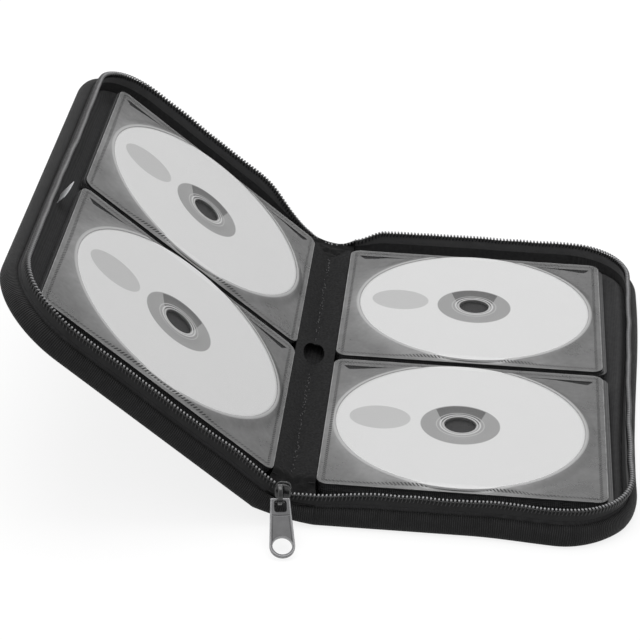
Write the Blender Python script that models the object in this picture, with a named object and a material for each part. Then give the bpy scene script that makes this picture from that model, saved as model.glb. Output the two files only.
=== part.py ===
"""A zip-up disc wallet lying open, with its left half part raised, built as it is made.

Run with blender --background --python part.py, or from the Text Editor. Lengths are in metres,
angles in radians, +Z is up and +Y runs along the spine. The origin is the middle of the right
cover's underside.

Both halves are the same shape, drawn once in a half frame: x runs outward from the spine edge of
the film sleeves, y along the spine and z up from the cover's outer face. The left half is its
mirror image, turned about the two folds of the spine.
"""

import math

import bmesh
import bpy
from mathutils import Matrix, Vector

MM = 0.001

# Pose of the open case
left_tilt = math.radians(37.3)
spine_tilt = math.radians(12.8)

# Clearances
fit_gap = 0.3 * MM
rim_gap = 0.6 * MM

# Discs and the sleeves that hold them
disc_diameter = 120 * MM
disc_hole = 15 * MM
disc_thickness = 1.2 * MM
sleeve_side_room = 13.8 * MM
sleeve_end_room = 4 * MM
sleeve_split = 4.6 * MM
sleeve_corner = 5 * MM
film_thickness = 0.35 * MM
backing_thickness = 0.5 * MM
slit_inset = 6.4 * MM
slit_width = 1.2 * MM
slit_margin = 6 * MM
leaf_thickness = 0.93 * MM
right_leaves = 6
left_leaves = 4
stack_overhang = 2.4 * MM
leaf_groove = 0.5 * MM

# Covers, walls and edge binding
outer_margin = 19.2 * MM
end_margin = 21.2 * MM
cover_corner = 40 * MM
cover_thickness = 2.6 * MM
lining_thickness = 0.8 * MM
binding_depth = 4.6 * MM
binding_height = 9.2 * MM
binding_roll = 2.2 * MM
binding_hem = 3.7 * MM
wall_thickness = 1.2 * MM
wall_height = 9.3 * MM

# Zipper
tape_thickness = 0.8 * MM
coil_width = 1.8 * MM
coil_height = 2.4 * MM
tooth_depth = 0.9 * MM
tooth_pitch = 3.6 * MM
rim_height = 16.5 * MM
dip_steps = 4
tape_lead = 10 * MM

# How far the rim dips beside the spine, and over what length of it
right_front_dip = 2.5 * MM
right_front_dip_length = 32 * MM
right_rear_dip = 6.5 * MM
right_rear_dip_length = 18 * MM
left_front_dip = 1 * MM
left_front_dip_length = 24 * MM
left_rear_dip = 8.5 * MM
left_rear_dip_length = 44 * MM

# Spine
fold_inset = -1 * MM
fold_height = 6 * MM
fold_gap = 0.6 * MM
fold_reach = 2.5 * MM
spine_thickness = 2.2 * MM
core_thickness = 2.9 * MM
core_inset = 2.6 * MM
strip_thickness = 0.5 * MM
strip_hole = 13 * MM
strip_notch = 16 * MM
end_piece_thickness = 3 * MM
front_end_height = 6.4 * MM
rear_end_height = 2.9 * MM
end_fold_share = 0.3
wall_start = 1 * MM

# Slider and its pull tab
slider_length = 7.6 * MM
slider_depth = 5.2 * MM
slider_height = 7.6 * MM
slider_lift = 13.4 * MM
slider_edge = 1.2 * MM
bail_width = 2.4 * MM
bail_wire = 1.1 * MM
bail_opening = 3.4 * MM
bail_span = 4.4 * MM
tab_length = 29 * MM
tab_width = 11.4 * MM
tab_neck = 8.8 * MM
tab_thickness = 1.5 * MM
tab_hole = 8.8 * MM
tab_window_width = 5.2 * MM
tab_window_length = 5.6 * MM
tab_crossbar = 1.3 * MM
tab_yaw = math.radians(9)

# Care label in the left half's seam
label_length = 9 * MM
label_height = 11 * MM
label_low_side = 6.6 * MM
label_thickness = 0.4 * MM
label_place = -22 * MM

arc_steps = 9
roll_steps = 3
crown_steps = 5
circle_steps = 40
film_steps = 36

# Sizes that follow from the disc
sleeve_width = disc_diameter + sleeve_side_room
sleeve_length = disc_diameter + sleeve_end_room
cover_reach = sleeve_width + outer_margin
half_length = sleeve_split / 2 + sleeve_length + end_margin

# Heights in the half frame, each piece lying a fit gap above the one below
lining_floor = cover_thickness + fit_gap
stack_floor = lining_floor + lining_thickness + fit_gap
stack_roof = stack_floor + right_leaves * leaf_thickness
backing_floor = stack_roof + fit_gap
film_floor = backing_floor + backing_thickness + fit_gap
disc_floor = film_floor + film_thickness + fit_gap
pocket_roof = disc_floor + disc_thickness + fit_gap
pocket_slack = 0.45 * MM

# Lines in from the case's outline
wall_inset = binding_depth + fit_gap
tape_inset = wall_inset + (wall_thickness - tape_thickness) / 2
coil_inset = tape_inset + (tape_thickness - coil_width) / 2
lining_inset = wall_inset + wall_thickness + fit_gap
cover_inset = binding_hem + fit_gap
tape_floor = wall_height + fit_gap
coil_floor = rim_height - coil_height
cover_start = fold_inset - fold_reach
spine_width = 2 * (rim_height - fold_height) + rim_gap
slider_front = -half_length + coil_inset - fit_gap - slider_depth

cover_middle = (cover_start + cover_reach - cover_inset) / 2
right_fold = Vector((fold_inset - cover_middle, 0, fold_height))
left_fold = right_fold + spine_width * Vector((-math.cos(spine_tilt), 0, math.sin(spine_tilt)))


def clear_scene():
    """Removes every object, so that only the wallet is left."""
    for obj in list(bpy.data.objects):
        bpy.data.objects.remove(obj, do_unlink=True)


def material(name, color, roughness, metallic=0.0):
    """A plain Principled material, shared by the pieces made of it."""
    made = bpy.data.materials.get(name) or bpy.data.materials.new(name)
    made.use_nodes = True
    made.diffuse_color = (*color, 1)
    shader = made.node_tree.nodes["Principled BSDF"]
    shader.inputs["Base Color"].default_value = (*color, 1)
    shader.inputs["Roughness"].default_value = roughness
    shader.inputs["Metallic"].default_value = metallic
    return made


def body_frame(name, place):
    """An empty that carries the pieces of one moving body, with its origin on the body's joint."""
    empty = bpy.data.objects.new(name, None)
    empty.empty_display_size = 20 * MM
    empty.matrix_world = place
    bpy.context.scene.collection.objects.link(empty)
    return empty


def new_object(name, points, faces, frame, look):
    """A mesh object made of points in its frame's own coordinates, with its faces turned outward."""
    mesh = bpy.data.meshes.new(name)
    mesh.from_pydata([tuple(p) for p in points], [], faces)
    cleaned = bmesh.new()
    cleaned.from_mesh(mesh)
    bmesh.ops.recalc_face_normals(cleaned, faces=cleaned.faces)
    cleaned.to_mesh(mesh)
    cleaned.free()
    mesh.materials.append(look)
    obj = bpy.data.objects.new(name, mesh)
    bpy.context.scene.collection.objects.link(obj)
    obj.parent = frame
    return obj


def cut(obj, cutter):
    """Takes the cutter's shape out of the object and hides the cutter."""
    hole = obj.modifiers.new("cut_" + cutter.name, "BOOLEAN")
    hole.operation = "DIFFERENCE"
    hole.solver = "EXACT"
    hole.object = cutter
    cutter.hide_render = True
    cutter.display_type = "WIRE"


def join_shape(obj, other):
    """Unites the other shape with the object and hides the other."""
    union = obj.modifiers.new("join_" + other.name, "BOOLEAN")
    union.operation = "UNION"
    union.solver = "EXACT"
    union.object = other
    other.hide_render = True
    other.display_type = "WIRE"


def round_edges(obj, width, segments=1):
    """Bevels the object's sharp edges by the width."""
    bevel = obj.modifiers.new("round_edges", "BEVEL")
    bevel.width = width
    bevel.segments = segments
    bevel.limit_method = "ANGLE"


def prism(outline, low, high, lift):
    """Points and faces of a closed outline carried between two levels. lift(point, level) gives 3D."""
    count = len(outline)
    points = [lift(p, low) for p in outline] + [lift(p, high) for p in outline]
    faces = [tuple(range(count)), tuple(range(2 * count - 1, count - 1, -1))]
    for i in range(count):
        j = (i + 1) % count
        faces.append((i, i + count, j + count, j))
    return points, faces


def flat(point, level):
    """Lifts an (x, y) point to height z."""
    return (point[0], point[1], level)


def across(point, level):
    """Lifts an (x, z) point to a place along the spine."""
    return (point[0], level, point[1])


def arc(center, radius, start, end, steps):
    """Points along an arc, both ends included."""
    angles = [start + (end - start) * i / steps for i in range(steps + 1)]
    return [(center[0] + radius * math.cos(a), center[1] + radius * math.sin(a)) for a in angles]


def rounded_rectangle(low_x, high_x, low_y, high_y, radius, steps):
    """An outline with four round corners, counter-clockwise."""
    corners = (
        (high_x - radius, high_y - radius, 0),
        (low_x + radius, high_y - radius, 1),
        (low_x + radius, low_y + radius, 2),
        (high_x - radius, low_y + radius, 3),
    )
    points = []
    for x, y, quarter in corners:
        start = quarter * math.pi / 2
        points += arc((x, y), radius, start, start + math.pi / 2, steps)
    return points


def rim_stations(half, start, front_start=None, pitch=None):
    """The path round a half's three open sides, from the front of the spine to its rear.

    Each station is (x, y, angle): an inset line passes at the corner radius less the inset from
    (x, y), towards the angle. The dips near the spine have their own stations, and a pitch
    divides every run evenly.
    """
    side_x = cover_reach - cover_corner
    side_y = half_length - cover_corner
    quarter = math.pi / 2
    front_start = start if front_start is None else front_start
    shares = [i / dip_steps for i in range(dip_steps + 1)]
    front_dip = [half.front_dip[1] * share for share in shares]
    rear_dip = [half.rear_dip[1] * share for share in shares]
    stops = [(front_start, -side_y, -quarter)]
    stops += [(x, -side_y, -quarter) for x in front_dip if x > front_start]
    stops += [
        (side_x, -side_y, -quarter),
        (side_x, -side_y, 0),
        (side_x, side_y, 0),
        (side_x, side_y, quarter),
    ]
    stops += [(x, side_y, quarter) for x in reversed(rear_dip) if x > start]
    stops.append((start, side_y, quarter))
    stations = [stops[0]]
    for (x0, y0, a0), (x1, y1, a1) in zip(stops, stops[1:]):
        run = math.hypot(x1 - x0, y1 - y0) + abs(a1 - a0) * (cover_corner - tape_inset)
        steps = arc_steps if a1 != a0 else 1
        if pitch:
            steps = max(1, round(run / pitch))
        for i in range(1, steps + 1):
            t = i / steps
            stations.append((x0 + (x1 - x0) * t, y0 + (y1 - y0) * t, a0 + (a1 - a0) * t))
    return stations


def rim_drop(half, station):
    """How far the rim dips at a station: a fall towards the spine in even steps of its length."""
    x, y, _ = station
    depth, length = half.front_dip if y < 0 else half.rear_dip
    place = min(1, max(0, 1 - x / length)) * dip_steps
    step = min(dip_steps - 1, int(place))
    before, after = [(k / dip_steps) ** 2 * (3 - 2 * k / dip_steps) for k in (step, step + 1)]
    return depth * (before + (after - before) * (place - step))


def rim_point(half, station, inset, height):
    """The 3D point of a station at an inset and a height, pressed down where the rim dips."""
    x, y, angle = station
    reach = cover_corner - inset
    above = max(0, height - lining_floor)
    share = above / (rim_height - lining_floor)
    z = height - rim_drop(half, station) * share
    return (x + reach * math.cos(angle), y + reach * math.sin(angle), z)


def swept(half, stations, profile_of):
    """A closed profile of (inset, height) points carried along the stations, with flat ends."""
    rings = [[rim_point(half, s, *p) for p in profile_of(i)] for i, s in enumerate(stations)]
    count = len(rings[0])
    points = [p for ring in rings for p in ring]
    faces = [tuple(range(count)), tuple(range(len(points) - 1, len(points) - count - 1, -1))]
    for r in range(len(rings) - 1):
        for i in range(count):
            j = (i + 1) % count
            faces.append((r * count + i, r * count + j, (r + 1) * count + j, (r + 1) * count + i))
    return points, faces


def panel_outline(start, inset):
    """A half's outline at an inset, closed by a straight edge at the spine."""
    reach = cover_corner - inset
    side_x = cover_reach - cover_corner
    side_y = half_length - cover_corner
    quarter = math.pi / 2
    points = [(start, -half_length + inset)]
    points += arc((side_x, -side_y), reach, -quarter, 0, arc_steps)
    points += arc((side_x, side_y), reach, 0, quarter, arc_steps)
    points.append((start, half_length - inset))
    return points


class Half:
    """One half of the case: its frame, and how half-frame points enter that frame."""

    def __init__(self, side, place, front_dip, rear_dip):
        self.side = side
        self.frame = body_frame(side + "_half", place)
        self.place = place
        self.front_dip = front_dip
        self.rear_dip = rear_dip

    def local(self, point):
        """A half-frame point in the frame's own coordinates. The left half is mirrored."""
        x, y, z = point
        if self.side == "right":
            return Vector((x - cover_middle, y, z))
        return Vector((-(x - fold_inset), y, z - fold_height))

    def world(self, point):
        """A half-frame point in the world."""
        return self.place @ self.local(point)

    def add(self, name, shape, look):
        """Adds a piece of this half, drawn in the half frame."""
        points, faces = shape
        return new_object(name, [self.local(p) for p in points], faces, self.frame, look)

    def add_own(self, name, shape, look):
        """Adds a piece that both halves have, named with its side."""
        return self.add(self.side + "_" + name, shape, look)


def add_cover(half):
    """The ribbed nylon cover panel, stiffened by its board, as one solid."""
    shape = prism(panel_outline(cover_start, cover_inset), 0, cover_thickness, flat)
    half.add_own("cover", shape, material("cover_nylon", nylon, 0.85))


def add_edge_binding(half):
    """The ribbed tape folded round the seam of cover and wall, a round roll along three sides."""
    profile = arc((binding_roll, binding_roll), -binding_roll, math.pi / 2, 0, roll_steps)
    for i in range(1, crown_steps + 1):
        turn = i / crown_steps * math.pi / 2
        rise = binding_height - binding_roll
        inset = binding_depth * (1 - math.cos(turn))
        profile.append((inset, binding_roll + rise * math.sin(turn)))
    profile += [(binding_depth, lining_floor), (binding_hem, lining_floor), (binding_hem, 0)]
    shape = swept(half, rim_stations(half, wall_start), lambda i: profile)
    half.add_own("edge_binding", shape, material("binding_tape", binding_grey, 0.8))


def upright(inset, thickness, floor, top):
    """The rectangular profile of a standing strip."""
    return [(inset, floor), (inset + thickness, floor), (inset + thickness, top), (inset, top)]


def add_wall(half):
    """The fabric gusset that stands on the cover along its three open sides."""
    profile = upright(wall_inset, wall_thickness, lining_floor, wall_height)
    shape = swept(half, rim_stations(half, wall_start), lambda i: profile)
    half.add_own("gusset_wall", shape, material("gusset_fabric", gusset_black, 0.9))


def zipper_lead(half):
    """Where the zipper starts at the front: the right one runs on to the slider."""
    return wall_start - tape_lead if half.side == "right" else wall_start


def add_zipper_tape(half):
    """The woven tape that carries the teeth, standing on the gusset."""
    profile = upright(tape_inset, tape_thickness, tape_floor, coil_floor - fit_gap)
    stations = rim_stations(half, wall_start, zipper_lead(half))
    shape = swept(half, stations, lambda i: profile)
    half.add_own("zipper_tape", shape, material("zipper_tape", tape_black, 0.85))


def add_zipper_coil(half):
    """The moulded coil along the tape's edge, one tooth to each pitch."""
    stations = rim_stations(half, wall_start, zipper_lead(half), tooth_pitch / 2)

    def profile_of(i):
        crest = rim_height - (tooth_depth if i % 2 else 0)
        middle = coil_inset + coil_width / 2
        return [(coil_inset, coil_floor), (coil_inset + coil_width, coil_floor), (middle, crest)]

    shape = swept(half, stations, profile_of)
    half.add_own("zipper_coil", shape, material("zipper_coil", coil_black, 0.35))


def add_lining(half):
    """The lining board on the inside of the cover."""
    outline = panel_outline(fold_inset + core_inset, lining_inset)
    shape = prism(outline, lining_floor, lining_floor + lining_thickness, flat)
    half.add_own("lining", shape, material("lining_fabric", lining_grey, 0.9))


def sleeve_span(end):
    """The low and high y of the front or rear sleeve."""
    near = sleeve_split / 2
    if end == "rear":
        return near, near + sleeve_length
    return -near - sleeve_length, -near


def add_page_stack(half, end):
    """The closed sleeves that lie below the open one, a stack of leaves as one solid."""
    low, high = sleeve_span(end)
    leaves = right_leaves if half.side == "right" else left_leaves
    levels = []
    for leaf in range(leaves):
        floor = stack_roof - leaf_thickness * (leaves - leaf)
        levels += [(floor, leaf_groove), (floor + leaf_thickness / 2, 0)]
    levels.append((stack_roof, leaf_groove))
    rings = []
    for height, groove in levels:
        outline = rounded_rectangle(
            groove,
            sleeve_width + stack_overhang - groove,
            low + groove,
            high - groove,
            sleeve_corner,
            2,
        )
        rings.append([flat(p, height) for p in outline])
    count = len(rings[0])
    points = [p for ring in rings for p in ring]
    faces = [tuple(range(count)), tuple(range(len(points) - 1, len(points) - count - 1, -1))]
    for r in range(len(rings) - 1):
        for i in range(count):
            j = (i + 1) % count
            faces.append((r * count + i, r * count + j, (r + 1) * count + j, (r + 1) * count + i))
    half.add_own(end + "_page_stack", (points, faces), material("page_film", film_grey, 0.3))


def add_sleeve_backing(half, end):
    """The non-woven backing sheet of the sleeve on top."""
    low, high = sleeve_span(end)
    outline = rounded_rectangle(0, sleeve_width, low, high, sleeve_corner, 3)
    shape = prism(outline, backing_floor, backing_floor + backing_thickness, flat)
    half.add_own(end + "_sleeve_backing", shape, material("sleeve_backing", backing_grey, 0.8))


def disc_center(half, end):
    """The centre of the disc in a half's front or rear sleeve."""
    low, high = sleeve_span(end)
    off_x, off_y = disc_place[half.side, end]
    return sleeve_width / 2 + off_x, (low + high) / 2 + off_y


def clipped_circle(center, radius, stop):
    """A circle's outline up to a straight edge at y = stop, counter-clockwise."""
    half_angle = math.asin((stop - center[1]) / radius)
    return arc(center, radius, math.pi - half_angle, 2 * math.pi + half_angle, film_steps)


def add_sleeve_film(half, end):
    """The clear film of the sleeve on top, flat on its backing and raised over the disc.

    A slit near its rear edge opens the pocket. The strip behind the slit lies under the disc's
    edge, and the panel in front of it covers the rest of the disc.
    """
    low, high = sleeve_span(end)
    slit = high - slit_inset
    center = disc_center(half, end)
    look = material("page_film", film_grey, 0.3)
    name = half.side + "_" + end
    outline = rounded_rectangle(0, sleeve_width, low, high, sleeve_corner, 3)
    film = half.add(
        name + "_sleeve_film", prism(outline, film_floor, film_floor + film_thickness, flat), look
    )
    inner = disc_diameter / 2 + pocket_slack
    roof = pocket_roof + film_thickness
    outline = clipped_circle(center, inner + film_thickness, slit - slit_width)
    pocket = half.add(name + "_pocket", prism(outline, film_floor, roof, flat), look)
    join_shape(film, pocket)
    outline = clipped_circle(center, inner, slit - slit_width / 2)
    room = half.add(name + "_room", prism(outline, film_floor - fit_gap, pocket_roof, flat), look)
    cut(film, room)
    outline = rounded_rectangle(
        slit_margin, sleeve_width - slit_margin, slit - slit_width, slit, slit_width / 4, 1
    )
    slot = half.add(name + "_slit", prism(outline, film_floor - fit_gap, roof + fit_gap, flat), look)
    cut(film, slot)


def add_disc(half, end):
    """A disc in the open sleeve: a flat ring with its centre hole."""
    center = disc_center(half, end)
    turn = 2 * math.pi
    rim = arc(center, disc_diameter / 2, 0, turn, circle_steps)[:-1]
    hole = arc(center, disc_hole / 2, 0, turn, circle_steps)[:-1]
    count = circle_steps
    top = disc_floor + disc_thickness
    points = [flat(p, z) for z in (disc_floor, top) for ring in (rim, hole) for p in ring]
    faces = []
    for i in range(count):
        j = (i + 1) % count
        faces.append((i, j, count + j, count + i))
        faces.append((2 * count + i, 3 * count + i, 3 * count + j, 2 * count + j))
        faces.append((i, 2 * count + i, 2 * count + j, j))
        faces.append((count + i, count + j, 3 * count + j, 3 * count + i))
    half.add_own(end + "_disc", (points, faces), material("disc_white", disc_white, 0.25))


def add_care_label(half):
    """A blank white care label that stands in the seam of the left half's outer wall."""
    x = cover_reach - lining_inset - fit_gap - label_thickness
    low = label_place - label_length / 2
    high = label_place + label_length / 2
    floor = lining_floor + lining_thickness + fit_gap
    outline = [(low, floor), (high, floor), (high, floor + label_low_side)]
    outline.append((low, floor + label_height))
    shape = prism(outline, x, x + label_thickness, lambda p, level: (level, p[0], p[1]))
    half.add("care_label", shape, material("label_white", label_white, 0.7))


def add_half(half):
    """Every piece of one half, from the cover inward."""
    add_cover(half)
    add_edge_binding(half)
    add_wall(half)
    add_zipper_tape(half)
    add_zipper_coil(half)
    add_lining(half)
    for end in ("rear", "front"):
        add_page_stack(half, end)
        add_sleeve_backing(half, end)
        add_sleeve_film(half, end)
        add_disc(half, end)


def add_spine_panel(frame):
    """The nylon spine between the two folds, its outer face as low as the covers when flat."""
    floor = fit_gap - fold_height
    reach = half_length - lining_inset - fit_gap
    edge = fold_reach + fold_gap
    outline = [(-spine_width + edge, -reach), (-edge, -reach), (-edge, reach)]
    outline.append((-spine_width + edge, reach))
    points, faces = prism(outline, floor, floor + spine_thickness, flat)
    look = material("cover_nylon", nylon, 0.85)
    panel = new_object("spine_panel", points, faces, frame, look)
    round_edges(panel, spine_thickness / 4)


def add_page_core(frame):
    """The stitched spine edges of all the lower sleeves, a flat bundle on the spine."""
    floor = 2 * fit_gap - fold_height + spine_thickness
    low = -spine_width + core_inset
    reach = sleeve_split / 2 + sleeve_length - strip_notch / 2
    outline = rounded_rectangle(low, -core_inset, -reach, reach, core_inset, 2)
    points, faces = prism(outline, floor, floor + core_thickness, flat)
    look = material("strip_fabric", strip_black, 0.9)
    new_object("stitched_page_core", points, faces, frame, look)


def upright_cylinder(name, center, radius, low, high, frame):
    """A cutter standing on a point of the spine's frame."""
    outline = arc(center, radius, 0, 2 * math.pi, circle_steps // 2)[:-1]
    points, faces = prism(outline, low, high, flat)
    return new_object(name, points, faces, frame, material("strip_fabric", strip_black, 0.9))


def add_binding_strip(frame, place, right, left):
    """The cloth strip between the sleeves, folded along the stitching on the spine.

    It has a round hole at its middle and a half-round notch at each end.
    """
    inverse = place.inverted()
    reach = sleeve_split / 2 + sleeve_length
    core_top = 3 * fit_gap - fold_height + spine_thickness + core_thickness
    levels = (backing_floor, backing_floor + strip_thickness)
    points = []
    for y in (-reach, reach):
        edge = -fit_gap
        for level, z in enumerate(levels):
            middle = Vector((-spine_width / 2, y, core_top + level * strip_thickness))
            row = [inverse @ left.world((edge, y, z)), middle, inverse @ right.world((edge, y, z))]
            points += row
    faces = [(0, 1, 4, 3), (1, 2, 5, 4), (7, 6, 9, 10), (8, 7, 10, 11)]
    faces += [(0, 6, 7, 1), (1, 7, 8, 2), (3, 4, 10, 9), (4, 5, 11, 10)]
    faces += [(0, 3, 9, 6), (2, 8, 11, 5)]
    look = material("strip_fabric", strip_black, 0.9)
    strip = new_object("binding_strip", points, faces, frame, look)
    low = -fold_height
    high = rim_height
    for name, y, width in (
        ("middle_hole", 0, strip_hole),
        ("rear_notch", reach, strip_notch),
        ("front_notch", -reach, strip_notch),
    ):
        middle = (-spine_width / 2, y)
        cut(strip, upright_cylinder(name, middle, width / 2, low, high, frame))


def add_spine_end(name, sign, frame, place, right, left):
    """The bound fabric that closes the spine's front or rear end, from wall to wall.

    It bends when the case closes, so it is drawn here as it lies at rest.
    """
    inverse = place.inverted()
    inner = half_length - cover_inset + fit_gap
    outer = inner + end_piece_thickness
    height = front_end_height if sign < 0 else rear_end_height
    x = wall_start - fit_gap
    share = (binding_height - lining_floor) / (rim_height - lining_floor)
    rows = []
    for depth in (inner, outer):
        y = sign * depth
        ends = []
        for half in (right, left):
            top = binding_height - rim_drop(half, (x, y, 0)) * share
            ends.append([inverse @ half.world((x, y, z)) for z in (fit_gap, top)])
        floor = fit_gap - fold_height
        row = [
            ends[0][0],
            Vector((-fold_reach, y, floor)),
            Vector((-spine_width + fold_reach, y, floor)),
            ends[1][0],
            ends[1][1],
            Vector((-spine_width * (1 - end_fold_share), y, floor + height)),
            Vector((-spine_width * end_fold_share, y, floor + height)),
            ends[0][1],
        ]
        rows += row
    count = 8
    faces = [tuple(range(count)), tuple(range(2 * count - 1, count - 1, -1))]
    for i in range(count):
        j = (i + 1) % count
        faces.append((i, i + count, j + count, j))
    new_object(name, rows, faces, frame, material("binding_tape", binding_grey, 0.8))


def yawed(x, y, z):
    """A half-frame point turned by the tab's yaw about the middle of the slider's front."""
    sine, cosine = math.sin(tab_yaw), math.cos(tab_yaw)
    dx, dy = x - slider_middle_x, y - slider_front
    return (slider_middle_x + dx * cosine - dy * sine, slider_front + dx * sine + dy * cosine, z)


def add_slider(half):
    """The zipper's slider at the front of the spine, with the bail that holds the pull tab."""
    front = slider_front
    back = front + slider_depth
    middle = slider_middle_x
    low, high = middle - slider_length / 2, middle + slider_length / 2
    outline = rounded_rectangle(
        low, high, slider_lift, slider_lift + slider_height, slider_edge, 2
    )
    look = material("slider_black", slider_black, 0.4, 0.7)
    body = half.add("zipper_slider", prism(outline, front, back, across), look)
    reach = front - bail_opening - bail_wire
    center = slider_lift + slider_height / 2
    outline = [
        (front + slider_edge, center - bail_span / 2 - bail_wire),
        (reach, center - bail_span / 2 - bail_wire),
        (reach, center + bail_span / 2 + bail_wire),
        (front + slider_edge, center + bail_span / 2 + bail_wire),
        (front + slider_edge, center + bail_span / 2),
        (reach + bail_wire, center + bail_span / 2),
        (reach + bail_wire, center - bail_span / 2),
        (front + slider_edge, center - bail_span / 2),
    ]
    shape = prism(
        outline, middle - bail_width / 2, middle + bail_width / 2, lambda p, x: yawed(x, p[0], p[1])
    )
    join_shape(body, half.add("slider_bail", shape, look))


def tab_pivot():
    """The middle of the pull tab's crossbar, inside the slider's bail."""
    y = slider_front - bail_opening / 2
    x, y, z = yawed(slider_middle_x, y, slider_lift + slider_height / 2)
    return Vector((x - cover_middle, y, z))


def tab_lean(pivot):
    """The angle below level at which the tab's tip rests on the table, a fit gap above it."""
    reach = math.hypot(tab_length, tab_thickness / 2)
    return math.asin((pivot.z - fit_gap) / reach) - math.atan2(tab_thickness / 2, tab_length)


def add_pull_tab():
    """The flat metal pull tab, with a window at its crossbar and a finger hole at its tip."""
    pivot = tab_pivot()
    turn = Matrix.Rotation(tab_yaw, 4, "Z") @ Matrix.Rotation(tab_lean(pivot), 4, "X")
    place = Matrix.Translation(pivot) @ turn
    frame = body_frame("tab_pivot", place)
    tip = tab_width / 2
    outline = [(-tab_neck / 2, tab_crossbar / 2), (-tip, tip - tab_length)]
    outline += arc((0, tip - tab_length), tip, -math.pi, 0, arc_steps)[1:]
    outline.append((tab_neck / 2, tab_crossbar / 2))
    look = material("tab_gunmetal", gunmetal, 0.3, 0.9)
    points, faces = prism(outline, -tab_thickness / 2, tab_thickness / 2, flat)
    tab = new_object("pull_tab", points, faces, frame, look)
    window_top = -tab_crossbar / 2
    window = rounded_rectangle(
        -tab_window_width / 2,
        tab_window_width / 2,
        window_top - tab_window_length,
        window_top,
        tab_crossbar / 2,
        2,
    )
    middle = (0, tip - tab_length)
    hole = arc(middle, tab_hole / 2, 0, 2 * math.pi, circle_steps // 2)[:-1]
    for name, shape in (("tab_window", window), ("tab_hole", hole)):
        points, faces = prism(shape, -tab_thickness, tab_thickness, flat)
        cut(tab, new_object(name, points, faces, frame, look))


# Colours, read as seen in daylight
nylon = (0.022, 0.022, 0.024)
binding_grey = (0.035, 0.035, 0.037)
gusset_black = (0.012, 0.012, 0.013)
tape_black = (0.016, 0.016, 0.017)
coil_black = (0.02, 0.02, 0.02)
lining_grey = (0.03, 0.03, 0.032)
film_grey = (0.17, 0.17, 0.175)
backing_grey = (0.12, 0.12, 0.125)
strip_black = (0.02, 0.02, 0.021)
disc_white = (0.78, 0.78, 0.78)
label_white = (0.8, 0.8, 0.8)
slider_black = (0.03, 0.03, 0.03)
gunmetal = (0.2, 0.2, 0.21)

# How far each disc lies off the middle of its sleeve, outward and to the rear
disc_place = {
    ("right", "rear"): (1.1 * MM, -0.9 * MM),
    ("right", "front"): (-2.5 * MM, -1 * MM),
    ("left", "rear"): (1 * MM, -1 * MM),
    ("left", "front"): (-0.8 * MM, 1 * MM),
}
slider_middle_x = -10 * MM

clear_scene()

right_half = Half(
    "right",
    Matrix.Identity(4),
    (right_front_dip, right_front_dip_length),
    (right_rear_dip, right_rear_dip_length),
)
spine_place = Matrix.Translation(right_fold) @ Matrix.Rotation(spine_tilt, 4, "Y")
spine_frame = body_frame("spine", spine_place)
left_half = Half(
    "left",
    Matrix.Translation(left_fold) @ Matrix.Rotation(left_tilt, 4, "Y"),
    (left_front_dip, left_front_dip_length),
    (left_rear_dip, left_rear_dip_length),
)

add_half(right_half)
add_half(left_half)
add_care_label(left_half)
add_spine_panel(spine_frame)
add_page_core(spine_frame)
add_binding_strip(spine_frame, spine_place, right_half, left_half)
add_spine_end("front_spine_end", -1, spine_frame, spine_place, right_half, left_half)
add_spine_end("rear_spine_end", 1, spine_frame, spine_place, right_half, left_half)
add_slider(right_half)
add_pull_tab()
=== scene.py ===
"""The looks of a zip-up disc wallet lying open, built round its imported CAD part.

Shapes are drawn in the half frame of the part's source, in millimetres: x runs outward from the
sleeves' spine edge, y along the spine, z up from the cover's outer face.
"""

import bpy
import numpy as np
from mathutils import Matrix


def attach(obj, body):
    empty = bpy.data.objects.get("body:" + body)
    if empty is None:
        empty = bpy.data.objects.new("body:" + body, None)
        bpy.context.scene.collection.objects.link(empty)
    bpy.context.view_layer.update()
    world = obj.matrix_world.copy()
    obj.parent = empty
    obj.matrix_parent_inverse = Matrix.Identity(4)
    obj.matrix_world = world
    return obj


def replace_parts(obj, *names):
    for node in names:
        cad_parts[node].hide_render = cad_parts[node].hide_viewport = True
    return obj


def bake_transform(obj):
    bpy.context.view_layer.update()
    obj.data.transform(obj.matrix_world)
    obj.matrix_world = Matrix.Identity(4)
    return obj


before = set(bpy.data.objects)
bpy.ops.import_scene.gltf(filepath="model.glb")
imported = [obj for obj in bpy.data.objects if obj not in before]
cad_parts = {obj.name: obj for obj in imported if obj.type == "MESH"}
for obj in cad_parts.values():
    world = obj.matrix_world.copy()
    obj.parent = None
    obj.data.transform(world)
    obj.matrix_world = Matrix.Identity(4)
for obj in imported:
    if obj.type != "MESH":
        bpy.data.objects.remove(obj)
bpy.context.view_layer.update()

# Camera
# The photograph's own view: a long lens in front of the spine, 27 degrees down, rolled a little.
# Its place and lens were fitted to the edges of the four discs and the corners of the sleeves.
def unit(vectors):
    """Vectors divided by their own length, along the last axis."""
    return vectors / np.linalg.norm(vectors, axis=-1, keepdims=True)


camera_place = (-0.01495, -1.1518, 0.6105)
azimuth, elevation, roll = np.radians([3.29, 26.69, 2.37])
look = np.array(
    [-np.sin(azimuth) * np.cos(elevation), np.cos(azimuth) * np.cos(elevation), -np.sin(elevation)]
)
level = unit(np.cross(look, (0, 0, 1)))
upward = np.cross(level, look)
sideways = np.cos(roll) * level + np.sin(roll) * upward
upright = np.cos(roll) * upward - np.sin(roll) * level
camera = bpy.data.objects.new("camera", bpy.data.cameras.new("camera"))
camera.data.lens = 145.9
camera.data.sensor_width = 36
camera.matrix_world = Matrix(
    [(*row, place) for row, place in zip(np.stack([sideways, upright, -look]).T, camera_place)]
    + [(0, 0, 0, 1)]
)
bpy.context.scene.collection.objects.link(camera)
bpy.context.scene.camera = camera
bpy.context.scene.view_settings.view_transform = "Standard"

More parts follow.
